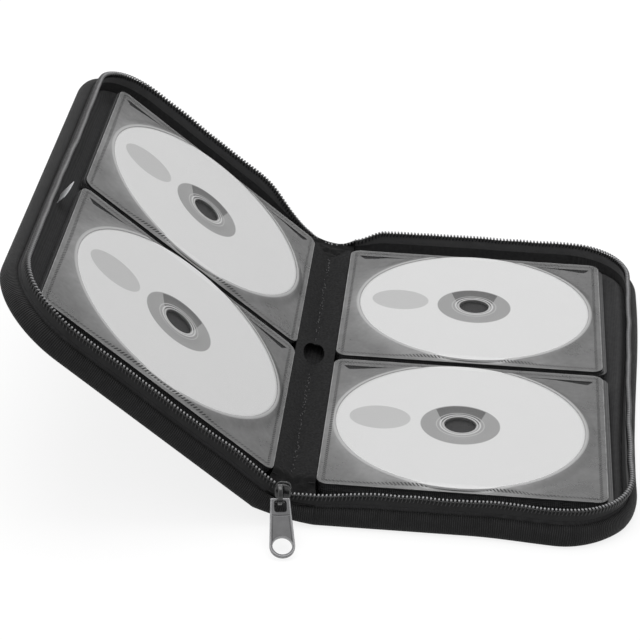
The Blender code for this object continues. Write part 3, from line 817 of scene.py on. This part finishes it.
def film_look():
    """Soft hazy film: milky where it lies on the backing, nearly clear over the disc.

    The attribute off is the distance outside the disc in metres. The attribute lift is 1 on the
    front spine side of the disc, where the film stands off widest, and 0 opposite; there the ramp
    is painted lighter, as painted light. The pale grey band round the disc's edge is painted light
    too. The weld is a dotted line 3 mm inside the sleeve's edge.
    """
    made, tree, bsdf = shader("sleeve_film", 0.3, 0.3)
    off, lift = (tree.nodes.new("ShaderNodeAttribute") for _ in range(2))
    off.attribute_name, lift.attribute_name = "off", "lift"
    off, lift = Value(off.outputs["Fac"]), Value(lift.outputs["Fac"])
    u, v, _ = follow(tree)
    to_side = u.math("MINIMUM", sleeve_width * mm - u)
    edge = to_side.math("MINIMUM", v.math("MINIMUM", sleeve_length * mm - v))
    clouds = grain(tree, 16.0) * 0.75 + grain(tree, 2.6) * 0.25
    # Painted light: the ramp is lighter near the disc and on the front spine side.
    painted_ramp_light = ((off * (-1 / (6.0 * mm))).math("EXPONENT") * lift * 0.35).limited()
    haze = (painted_ramp_light * 0.6 + clouds * 0.62 + 0.22) * (1 - within(off, -0.5, 0.6))
    # Painted light: an opaque pale grey band just round the disc's edge, where the ramp starts.
    ring = within(abs(off - 0.6 * mm), 0.9, 0.7) * 0.92
    dots = (waves(u + v, 1.75) * 4.0 - 1.7).limited()
    weld = within(abs(edge - 3.0 * mm), 0.7, 0.2) * dots * 0.95
    rim = within(edge, 0.35, 0.3) * grain(tree, 8.0)
    alpha = haze.math("MAXIMUM", 0.03).math("MAXIMUM", ring)
    alpha.math("MAXIMUM", rim).math("MAXIMUM", weld, clamp=True).to(bsdf.inputs["Alpha"])
    # The painted light sets the colour: lighter on the ramp, pale grey in the band round the disc.
    color = over(0.25, painted_ramp_light, 0.7)
    for mask, grey in ((within(off, 1.0, 1.3), 0.5), (rim, 0.6), (weld, 0.012)):
        color = over(color, mask, grey)
    tree.links.new(color, bsdf.inputs["Base Color"])
    bump(bsdf, weld * -0.6 + clouds * 0.5, 0.3, 0.6)
    return made


film_skin = film_look()


def film_grid(side, end, low_v, high_v, rows, slit_open):
    """One panel of the film between two distances from the sleeve's low edge, as a closed shell.

    Height is the base, plus the disc's height where the film lies over it, plus a ramp that
    falls off outside the disc. Gives the grid, its UV and the attributes off and lift.
    """
    cx, cy = disc_center(side, end)
    low = sleeve_low(end)
    x, short = round_ends(0, sleeve_width, sleeve_corner, 88, 5)
    start = np.maximum(low_v(x), short)
    stop = np.minimum(high_v(x), sleeve_length - short)
    y = start[:, None] + np.linspace(0, 1, rows) * (stop - start)[:, None]
    x = np.broadcast_to(x[:, None], y.shape)
    off = np.hypot(x - cx, y + low - cy) - disc_radius
    raised = disc_floor + disc_thick + film_gap - film_base
    angle = np.arctan2(y + low - cy, (x - cx) * (1 if side == "right" else -1))
    toward = np.cos(angle - np.radians(215))
    run = 6.5 + 2.5 * toward
    edge = np.minimum(np.minimum(x, sleeve_width - x), np.minimum(y, sleeve_length - y))
    if slit_open:
        slope = np.exp(-((np.clip(off - 0.8, 0, None) / run * 1.5) ** 2)) * smooth(edge / 4 - 0.25)
    else:
        slope, off = np.zeros(x.shape), np.full(x.shape, 40.0)
    # lift marks the side where the film's ramp is painted lighter, as painted light.
    lift = 0.5 + 0.5 * toward
    wrinkle = 0.18 * ripple(x / 15 + y / 21, 21 + ends[end]) * smooth(edge / 8) * smooth(off / 6)
    z = film_base + raised * slope + np.clip(wrinkle, 0, None)
    grid = np.concatenate([stacked(x, y + low, z), stacked(x, y + low, z + film_thick)[:, ::-1]], 1)
    return grid, [np.concatenate([part, part[:, ::-1]], 1) for part in (stacked(x, y), off * mm, lift)]


def add_film(side, end):
    """The film of one sleeve: the panel over the disc, and the strip behind the slit."""
    slit = sleeve_length - slit_inset
    name = side + "_" + end

    def gap(x):
        """The slit's half-open width: drop-shaped at both ends, nearly closed towards the disc."""
        place = np.minimum(x - slit_margin, sleeve_width - slit_margin - x)
        wide = 4.0 * np.clip(place / 1.2, 0, 1) ** 0.5 * (0.12 + 0.88 * np.exp(-((place / 13) ** 2)))
        return np.where(place > 0, wide, 0.02)

    panels = (
        ("_film_panel", lambda x: 0 * x, lambda x: slit - gap(x), 84, True),
        ("_film_strip", lambda x: slit + 0 * x, lambda x: 0 * x + sleeve_length, 9, False),
    )
    for suffix, low_v, high_v, rows, slit_open in panels:
        grid, (uv, off, lift) = film_grid(side, end, low_v, high_v, rows, slit_open)
        film = on_half(side, end + suffix, end + "_sleeve_film", grid, film_skin, "page_film", uv=uv)
        for label, values in (("off", off), ("lift", lift)):
            attribute = film.data.attributes.new(label, "FLOAT", "POINT")
            attribute.data.foreach_set("value", values.reshape(-1).astype(np.float32))
        under = [name + "_disc_face", name + "_backing_sheet"]


for side in sides:
    for end in ends:
        add_film(side, end)

# Spine skin
# The same nylon as the covers, padded, bridging the two folds. It is one cloth on the real case;
# here it is drawn as a right part and a left part, which meet between the folds.
def sheet_grid(lines, thick):
    """A closed sheet: each line of points gets a second one, a thickness away along its normal.

    lines is (rows, columns, 3); the normal is the cross product of the two grid directions.
    """
    down, along = np.gradient(lines, axis=0), np.gradient(lines, axis=1)
    normal = unit(np.cross(along, down))
    if normal[..., 2].mean() < 0:
        normal = -normal
    return np.concatenate([lines, (lines + normal * thick)[:, ::-1]], 1)


skin_lines = {
    "right": [(-74.2, 0.1), (-76.4, 0.12), (-78.4, 0.8), (-80.6, 1.4), (-83.0, 1.95), (-85.6, 2.5)],
    "left": [
        (-85.6, 2.5), (-88.0, 3.05), (-90.4, 3.6), (-93.0, 4.2), (-95.0, 4.5), (-96.7, 4.85), (-98.0, 5.9)
    ],
}
fold_ends = {
    "right": ((-74.4, 0, 1), (-79.6, 0, 1.6)),
    "left": ((-91.4, 0, 4), (-97.0, 0, 5.5)),
}


def bend(piece, side, start, stop):
    """Bake a piece's transform into its mesh, without bending it. The two points in millimetres are made
    into metres and go no further.
    """
    places = (tuple(float(c) * mm for c in point) for point in (start, stop))
    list(places)
    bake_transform(piece)


for side, outline in skin_lines.items():
    outline = np.array(outline)
    u = np.linspace(0, len(outline) - 1, 19)
    x, z = (np.interp(u, np.arange(len(outline)), outline[:, k]) for k in (0, 1))
    y = np.concatenate([[-141.2, -140.9], np.linspace(-138, 138, 41), [140.9, 141.2]])
    skin_grid = sheet_grid(stacked(x, y[:, None], z), 2.0)
    skin = surface(side + "_spine_skin", skin_grid, nylon, "cover_nylon")
    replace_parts(skin, "spine_panel")
    bend(skin, side, *fold_ends[side])

# Spine ends
# At the front and rear the binding tape runs on round the end of the spine, lower than beside
# it. Each end is drawn in two parts that meet at the spine's middle.
spine_middle = -10.8
# How much of its height the band keeps at the spine's middle.
end_scale = {"front": 0.72, "rear": 0.36}
crossing_parts = {"right": (0, 0.5), "left": (0.5, 1)}


def bridge(right, middle, left, t):
    """A curve through three points: a quadratic Bezier, its control point set to pass the middle."""
    control = 2 * middle - (right + left) / 2
    t = t[:, None, None]
    return (1 - t) ** 2 * right + 2 * t * (1 - t) * control + t**2 * left


def rim_level(side, end, height):
    """A height beside the spine, with the whole dip of that side's front or rear rim taken off."""
    drop = dips[side][0 if end == "front" else 1][0]
    return height - drop * np.clip(height - rim_floor, 0, None) / (rim_height - rim_floor)


def end_profile(end):
    """The binding's profile at the right wall, the spine's middle and the left wall."""
    inset, height = binding_profile[:, 0], binding_profile[:, 1]
    y = ends[end] * (half_length - inset)
    right, left = (in_row(side, stacked(1, y, rim_level(side, end, height))) for side in sides)
    return right, on_spine(stacked(spine_middle, y, height * end_scale[end] - 5.85)), left


middle_point = on_spine(np.array((spine_middle, 0, -2.0)))
blend_ends = {
    "right": (in_row("right", np.array((0.5, 0, 4.0))), middle_point),
    "left": (middle_point, in_row("left", np.array((0.5, 0, 4.0)))),
}


def add_across(name, points, look, slot, node=None, steps=15):
    """A piece that crosses the spine, as a right and a left part. points are its three sections."""
    for side in sides:
        grid = bridge(*points, np.linspace(*crossing_parts[side], steps))
        piece = surface(f"{name}_{side}", grid, look, slot)
        if node:
            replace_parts(piece, node)
        bend(piece, side, *blend_ends[side])


for end in ends:
    add_across(end + "_end_band", end_profile(end), ribbed, "binding_tape", end + "_spine_end")

# Page core
# The spine edges of all the sleeves, sewn together into one thick seam on the spine. It is felted
# black cloth, and only its hollow shows, through the hole of the strip that covers it.
def non_woven(name, dark, pale, size):
    """Felted fibres: noise for tone and bump, without any weave."""
    made, tree, bsdf = shader(name, dark, 0.9, specular=0.08)
    fibres = (grain(tree, size, 6.0) * 1.4 - 0.2).limited()
    shades(bsdf, fibres, dark, pale)
    bump(bsdf, fibres, 0.25, 0.7)
    return made


strip_black = non_woven("strip_fabric", 0.009, 0.036, 1.1)


def core_top(x, y):
    """The sewn edges' top: faint ridges, hollowed out under the strip's middle hole."""
    pit = np.exp(-(((x - spine_middle) / 7) ** 4) - (y / 13) ** 4)
    return -0.6 - 0.2 * np.cos(x * 3.1) - 1.9 * pit * (1 - 0.35 * smooth(0.5 - y / 12))


core_grid = leaf_grid(-19.0, -2.6, -118.3, 118.3, -3.2, core_top, 2.6, 40, 41)
core = surface("stitched_page_edges", on_spine(core_grid), strip_black, "strip_fabric")
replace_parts(core, "stitched_page_core")
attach(core, "spine")

# Binding strip
# A strip of the same black non-woven cloth over the seam, up to the top sleeves on both sides. It
# has a round hole at its middle and a half-round notch at each end.
strip_end, strip_thick, strip_notch = 126.3, 0.5, 8
hole_wide, hole_long = 5.9, 11.5
turn = np.linspace(-np.pi / 2, np.pi / 2, 33)
rows = [strip_notch * np.sin(turn[16:]) - strip_end, np.linspace(-116, -13, 54), hole_long * np.sin(turn)]
strip_y = np.concatenate(rows + [-rows[1][::-1], -rows[0][::-1]])
for side in sides:
    y = strip_y[:, None]
    hole = hole_wide * np.sqrt(np.clip(1 - (y / hole_long) ** 2, 0, 1))
    notch = np.sqrt(np.clip(strip_notch**2 - (strip_end - np.abs(y)) ** 2, 0, None))
    t = np.maximum(hole, notch) / 11
    t = t + np.linspace(0, 1, 13) * (1 - t)
    y = np.broadcast_to(y, t.shape)
    arch = 0.05 + 1.5 * np.exp(-(((np.abs(y) - hole_long) / 5) ** 2))
    inner = on_spine(stacked(spine_middle, y, arch))
    outer = in_row(side, stacked(-0.35, y, 9.95))
    lines = inner + (outer - inner) * t[..., None]
    beside = np.exp(-(((t * 11 - hole) / 2) ** 2)) * np.exp(-((y / 12) ** 4))
    lines[..., 2] += (0.4 + 0.15 * ripple(y / 9, 31)) * np.sin(np.pi * t) + 0.9 * beside
    strip_grid = sheet_grid(lines, strip_thick)
    strip = surface(side + "_binding_strip", strip_grid, strip_black, "strip_fabric")
    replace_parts(strip, "binding_strip")
    meet = [inner[0, 0] * (1, 0, 1), outer[0, -1] * (1, 0, 1)]
    bend(strip, side, *(meet if side == "left" else meet[::-1]))

# Stitches
# Two uneven lines of short thread stitches run down the strip's fold, and hold it to the seam.
# They are slightly paler than the cloth and leave the middle hole free.
thread = woven("stitch_thread", 0.05, 0.17, 0.4)
dice = np.random.default_rng(5)
stitch_y = np.concatenate([np.arange(-115, 116, 3.1), np.arange(-113, 116, 4.3)])
stitch_y = stitch_y[np.abs(stitch_y) > 14]
t = np.linspace(-1, 1, 7)
stitch_lines = []
for middle in stitch_y:
    off, slant = dice.normal(0, 1.0), dice.normal(0, 0.4)
    run = t * dice.uniform(0.5, 1.2)
    height = 0.62 + 0.06 * off**2 + 0.25 * (1 - t**2)
    stitch_lines.append(stacked(spine_middle + off + slant * run, middle + run, height))
thick = 0.26 * np.sqrt(1.02 - t**2)[:, None]
ring = stacked(thick * np.cos(six_round), 0, thick * np.sin(six_round))
stitch_points = on_spine(np.array(stitch_lines)[:, :, None] + ring)
stitches = like_tubes("strip_stitches", stitch_points, 0 * t, thread)
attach(stitches, "spine")

# Rear crossing
# Behind the strip the zipper goes on from one half to the other in a loose hanging loop, low
# enough for the open case to lie flat. Its tape stands in the spine's end band.
def crossing(inset, right_z, middle_z, left_z, middle_x=spine_middle):
    """Sections of a line across the spine's rear at an inset: beside it on the right, middle, left."""
    y = half_length - inset
    middle = on_spine(stacked(middle_x, y, middle_z))
    return in_row("right", stacked(1, y, right_z)), middle, in_row("left", stacked(1, y, left_z))


right_z, left_z = (rim_level(side, "rear", rim_height) for side in sides)
crest_points = crossing(5.45, right_z, -1.75, left_z, -9.6)
for side in sides:
    t = np.linspace(*crossing_parts[side], 200)
    grid = bridge(*(point[None] for point in crest_points), t)[:, 0]
    run = np.concatenate([[0], np.cumsum(np.linalg.norm(np.diff(grid, axis=0), axis=1))])
    count = int(round(run[-1] / tooth_pitch))
    spots = (np.arange(count) + (1 if side == "right" else 0.5)) * run[-1] / count
    spots = spots[spots < run[-1]]
    crest = np.stack([np.interp(spots, run, grid[:, k]) for k in range(3)], -1)
    tangent = unit(np.gradient(crest, axis=0))
    outward = np.broadcast_to(np.array((0.0, 1.0, 0.0)), crest.shape)
    up = np.cross(tangent, outward)
    up *= np.sign(up[:, 2])[:, None]
    coil = teeth("rear_crossing_teeth_" + side, crest, tangent, outward, up)
    bend(coil, side, *blend_ends[side])

v = np.linspace(0, 1, 7)
v = np.concatenate([v, v[::-1]])
right_z, left_z = (rim_level(side, "rear", 9.2 + 6.0 * v) for side in sides)
tape_points = crossing(np.repeat((4.95, 5.95), 7), right_z, -4.4 + 2.1 * v, left_z)
# The crossing tape takes the darker gusset cloth: painted shade at the spine's rear end.
add_across("rear_crossing_tape", tape_points, shaded_gusset_black, "zipper_tape", steps=21)

# End folds
# Inside each end of the spine the gusset cloth is gathered into soft folds between the walls,
# the end band and the notch of the strip. Its heights run from the rim inward, beside the spine,
# where the rim's own comes first, and in the middle.
beside_heights = {"front": (6.2, 8.0, 11.1, 10.7), "rear": (4.6, 4.4, 4.4, 4.3)}
middle_heights = {"front": (1.0, -1.8, -0.8, 1.9, 1.3), "rear": (-2.9, -3.2, -3.0, -2.6, -2.5)}


def fold_lines(end):
    """The gathered cloth's sections at the right wall, the spine's middle and the left wall.

    It dips behind the rim, then bunches up and lies over the end of the strip.
    """
    v = np.linspace(0, 1, 25)
    y = ends[end] * (half_length - 4.9 - v * 24)
    knots = (0, 0.2, 0.55, 0.8, 1)
    sections = []
    for side in sides:
        z = np.interp(v, knots, (rim_level(side, end, 9.4), *beside_heights[end]))
        sections.append(in_row(side, stacked(0.8 - 1.2 * smooth(v), y, z)))
    middle_z = np.interp(v, knots, middle_heights[end])
    return sections[0], on_spine(stacked(spine_middle, y, middle_z)), sections[1]


for end in ends:
    right, middle, left = fold_lines(end)
    for side, outer in (("right", right), ("left", left)):
        u = np.linspace(0, 1, 21)[:, None, None]
        lines = outer + (middle - outer) * u
        v = np.linspace(0, 1, lines.shape[1])
        crease = ripple(u[:, :, 0] * 5 + v * 9, 51 + ends[end]) + 0.6 * ripple(v * 17 - u[:, :, 0] * 3, 61)
        lines[..., 2] += 0.85 * crease * np.sin(np.pi * u[:, :, 0]) ** 0.5 * np.sin(np.pi * v) ** 0.5
        lines[..., 2] = np.maximum(lines[..., 2], 1.6)
        grid = sheet_grid(lines, 0.6)
        # The folds take the darker gusset cloth: painted shade inside the spine's ends.
        fold = surface(f"{end}_gathered_{side}", grid, shaded_gusset_black, "gusset_fabric")
        bend(fold, side, *blend_ends[side])

# Zipper slider
# A small cast slider, enamelled black: two shield plates on a neck, with the tape between them,
# and on the outer plate a bent bail that holds the pull tab.
def enamel():
    """Black enamel, worn pale where the surface is sharply convex."""
    made, tree, bsdf = shader("slider_black", 0.02, 0.22, specular=0.7)
    convex = Value(tree.nodes.new("ShaderNodeNewGeometry").outputs["Pointiness"])
    shades(bsdf, (convex * 9.0 - 4.75).limited() * grain(tree, 0.8), 0.012, 0.40)
    bump(bsdf, grain(tree, 0.7), 0.04, 0.4)
    return made


enamel_black = enamel()
slider_x, slider_front, slider_low = -86.2, -148.4, 13.4


def tubes(name, centers, axes, halves, look, slot, sides, power, body, closed=False):
    """Ovals carried along centre points: cosine and sine to the power 2/power, on two axes."""
    spin = np.linspace(0, 2 * np.pi, sides, endpoint=False)
    grid = centers[:, None]
    for axis, half, wave in zip(axes, halves, (np.cos(spin), np.sin(spin))):
        ring = (np.sign(wave) * np.abs(wave) ** (2 / power))[:, None]
        half = np.broadcast_to(np.asarray(half, float), len(centers))[:, None, None]
        grid = grid + half * ring * axis[:, None]
    made = surface(name, grid, look, slot, closed=closed)
    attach(made, body)
    return made


def add_plate(name, y, wide, thick, low, high):
    """A shield plate: upright ovals whose width eases in at both ends."""
    t = np.linspace(-1, 1, 17)
    z = (low + high) / 2 + t * (high - low) / 2
    half = wide * (1 - 0.55 * np.abs(t) ** 4) * np.where(np.abs(t) > 0.999, 0.9, 1)
    centers = stacked(slider_x, y, z)
    axes = [np.broadcast_to(axis, centers.shape) for axis in ((1.0, 0, 0), (0, 1.0, 0))]
    ease = thick / 2 * (1 - 0.5 * np.abs(t) ** 8)
    return tubes(name, centers, axes, (half, ease), enamel_black, "slider_black", 24, 5.0, "right_half")


outer_plate = add_plate("slider_outer_plate", slider_front + 0.75, 3.7, 1.5, slider_low, slider_low + 7.6)
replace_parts(outer_plate, "zipper_slider")
add_plate("slider_inner_plate", slider_front + 3.6, 3.7, 1.4, slider_low, slider_low + 7.6)
add_plate("slider_neck", slider_front + 2.2, 1.3, 2.6, slider_low + 2.4, slider_low + 7.0)

tab_pivot = np.array((-87.0, -152.3, 15.6))
tab_yaw, tab_lean = np.radians([9.0, 30.2])


def on_tab(points):
    """Points of the tab's frame in the row frame: leaned about x, then yawed about z."""
    x, y, z = np.moveaxis(np.asarray(points, float), -1, 0)
    y, z = y * np.cos(tab_lean) - z * np.sin(tab_lean), y * np.sin(tab_lean) + z * np.cos(tab_lean)
    x, y = x * np.cos(tab_yaw) - y * np.sin(tab_yaw), x * np.sin(tab_yaw) + y * np.cos(tab_yaw)
    return np.stack([x, y, z], -1) + tab_pivot


t = np.linspace(0, np.pi, 25)
path = np.stack([0 * t, 3.9 - 5.7 * np.sin(t) ** 0.55, 1.5 + 4.1 * np.cos(t)], -1)
sine, cosine = np.sin(tab_yaw), np.cos(tab_yaw)
yaw = np.array([[cosine, sine, 0], [-sine, cosine, 0], [0, 0, 1]])
flatwise = np.broadcast_to((1.0, 0, 0), path.shape)
axes = (flatwise @ yaw, np.cross(unit(np.gradient(path, axis=0)), flatwise) @ yaw)
bail = (path @ yaw + tab_pivot, axes, (1.1, 0.5))
tubes("slider_bail_loop", *bail, enamel_black, "slider_black", 14, 3.0, "right_half")

# Pull tab
# A stamped tab of dark plated metal: a flat field inside a groove and a raised rim, a step line
# across it, a window for the bail and a round finger hole in the tip. The rims and the step's edge
# are painted paler as highlights, and the grooves, the window's rim and a band beside the step
# are painted dark as shade.
tab_wide, tab_neck, tab_top, tab_thick = 5.7, 4.4, 0.65, 0.75
hole_middle, window_middle, tab_joint = -23.3, -3.45, -10.0


def gunmetal(name, dark, pale):
    """Plated metal with fine brushing along the tab and faint handling marks."""
    made, tree, bsdf = shader(name, dark, 0.36, metallic=0.7)
    x, _, _ = follow(tree, "Object")
    brushed = waves(x, 0.35) * grain(tree, 2.0)
    shades(bsdf, (grain(tree, 7.0) * 0.7 + brushed * 0.5).limited(), dark, pale)
    bump(bsdf, brushed, 0.03, 0.5)
    return made


tab_metal = gunmetal("tab_gunmetal", 0.09, 0.20)
# Painted light: a paler copy of the metal is painted highlight on the rims and the step's edge, and a
# darker copy is painted shade in the grooves, round the window and beside the step.
tab_painted_highlight = gunmetal("tab_highlight_metal", 0.26, 0.5)
tab_painted_shade = gunmetal("tab_shade_metal", 0.015, 0.03)


def tab_plate(name, middle, inner, limits):
    """One end of the tab: a flat ring between an opening and the tab's outline.

    inner gives the opening's radius for each direction. The outer radius is the nearest of the
    two slanted sides and the levels in limits, and the tip is a half circle.
    """
    slant = np.arctan((tab_wide - tab_neck) / (tab_top - hole_middle))
    offset = tab_wide * np.cos(slant) - np.sin(slant) * (middle - hole_middle)
    angle = np.linspace(-np.pi, np.pi, 72, endpoint=False)
    edges = []
    for level in limits:
        wide = tab_wide - (level - hole_middle) * np.tan(slant)
        edges += [np.arctan2(level - middle, wide), np.arctan2(level - middle, -wide)]
    angle = np.sort(np.concatenate([angle, edges]))
    dx, dy = np.cos(angle), np.sin(angle)
    outer = offset / np.maximum(np.cos(slant) * np.abs(dx) + np.sin(slant) * dy, 1e-3)
    for level in limits:
        reach = abs(level - middle) / np.maximum(np.abs(dy), 1e-6)
        outer = np.minimum(outer, np.where(dy * (level - middle) > 0, reach, 99))
    if len(limits) == 1:
        outer = np.where(dy <= 0, tab_wide, outer)
    radii = np.stack([inner(dx, dy), outer, outer, inner(dx, dy)], 1)
    heights = tab_thick * np.array((-1, -1, 1, 1))
    grid = stacked(radii * dx[:, None], middle + radii * dy[:, None], heights)
    made = surface(name, on_tab(grid), tab_metal, "tab_gunmetal", closed=True)
    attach(made, "pull_tab")
    return made


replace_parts(tab_plate("tab_tip_plate", hole_middle, lambda dx, dy: 4.4 + 0 * dx, [tab_joint]), "pull_tab")
tab_plate(
    "tab_neck_plate",
    window_middle,
    lambda dx, dy: (np.abs(dx / 2.6) ** 6 + np.abs(dy / 2.8) ** 6) ** (-1 / 6),
    [tab_top, tab_joint],
)


def bead(name, outline, half, look=None, closed=True, rise=0.2):
    """A raised bead along an outline in the tab's plane, through its whole thickness."""
    path = np.concatenate([outline, np.zeros((len(outline), 1))], 1)
    ahead = np.roll(path, -1, 0) - np.roll(path, 1, 0) if closed else np.gradient(path, axis=0)
    up = np.broadcast_to(np.array((0, 0, 1.0)), path.shape)
    across = np.cross(unit(ahead), up)
    axes = (on_tab(across) - tab_pivot, on_tab(up) - tab_pivot)
    shape = (on_tab(path), axes, (half, tab_thick + rise))
    return tubes(name, *shape, look or tab_painted_highlight, "tab_gunmetal", 12, 3.0, "pull_tab", closed)


def resampled(corners, step, closed=True):
    """Points at even steps along an outline of corners."""
    loop = np.vstack([corners, corners[:1]]) if closed else np.asarray(corners, float)
    run = np.concatenate([[0], np.cumsum(np.linalg.norm(np.diff(loop, axis=0), axis=1))])
    spots = np.linspace(0, run[-1], int(run[-1] / step), endpoint=not closed)
    return np.stack([np.interp(spots, run, loop[:, k]) for k in range(2)], -1)


turn_tip = np.linspace(-np.pi, 0, 31)
tip = np.stack([5.3 * np.cos(turn_tip), hole_middle + 5.3 * np.sin(turn_tip)], -1)
bead("tab_rim", resampled(np.vstack([[(-4.0, 0.25)], tip, [(4.0, 0.25)]]), 0.6), 0.42)
# The grooves are dark beads of painted shade.
for side, sign in (("left", -1), ("right", 1)):
    groove = [(sign * 3.6, -8.4), (sign * 4.35, hole_middle + 2.2)]
    bead(f"tab_{side}_groove", resampled(groove, 0.8, False), 0.24, tab_painted_shade, False, 0.04)
spin = np.linspace(0, 2 * np.pi, 40, endpoint=False)
round_hole = np.stack([4.62 * np.cos(spin), hole_middle + 4.62 * np.sin(spin)], -1)
bead("tab_hole_rim", round_hole, 0.24, rise=0.1)
window = [np.sign(f) * np.abs(f) ** 0.4 for f in (np.cos(spin), np.sin(spin))]
window = np.stack([2.75 * window[0], window_middle + 2.95 * window[1]], -1)
# The window's rim is a dark bead of painted shade.
bead("tab_window_rim", window, 0.26, tab_painted_shade, rise=0.06)
# The step is a dark bead of painted shade beside a pale bead of painted highlight.
for name, level, look in (("tab_step_shade", -7.8, tab_painted_shade), ("tab_step_edge", -8.25, tab_painted_highlight)):
    step = stacked(np.linspace(-3.9, 3.9, 9), level - 0.25 * np.cos(np.linspace(-1.5, 1.5, 9)))
    bead(name, step, 0.22, look, False, 0.07)

# Care label
# A blank white satin label sewn into the seam of the left half's outer wall, curling inward.
label_satin = woven("label_white", 0.80, 0.92, 0.5, roughness=0.6)
y = np.linspace(-25.5, -16.5, 13)[:, None]
v = np.linspace(0, 1, 11)
z = 4.2 + (6 + (y + 25.5) / 9 * 5.5) * v
x = 141.6 - 0.8 * v**2 - 0.3 * np.sin((y + 25.5) / 9 * np.pi)
lines = stacked(x, y, z)
label_grid = in_row("left", np.concatenate([lines, lines[:, ::-1] - (0.3, 0, 0)], 1))
label = surface("blank_label", label_grid, label_satin, "label_white")
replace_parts(label, "care_label")
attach(label, "left_half")
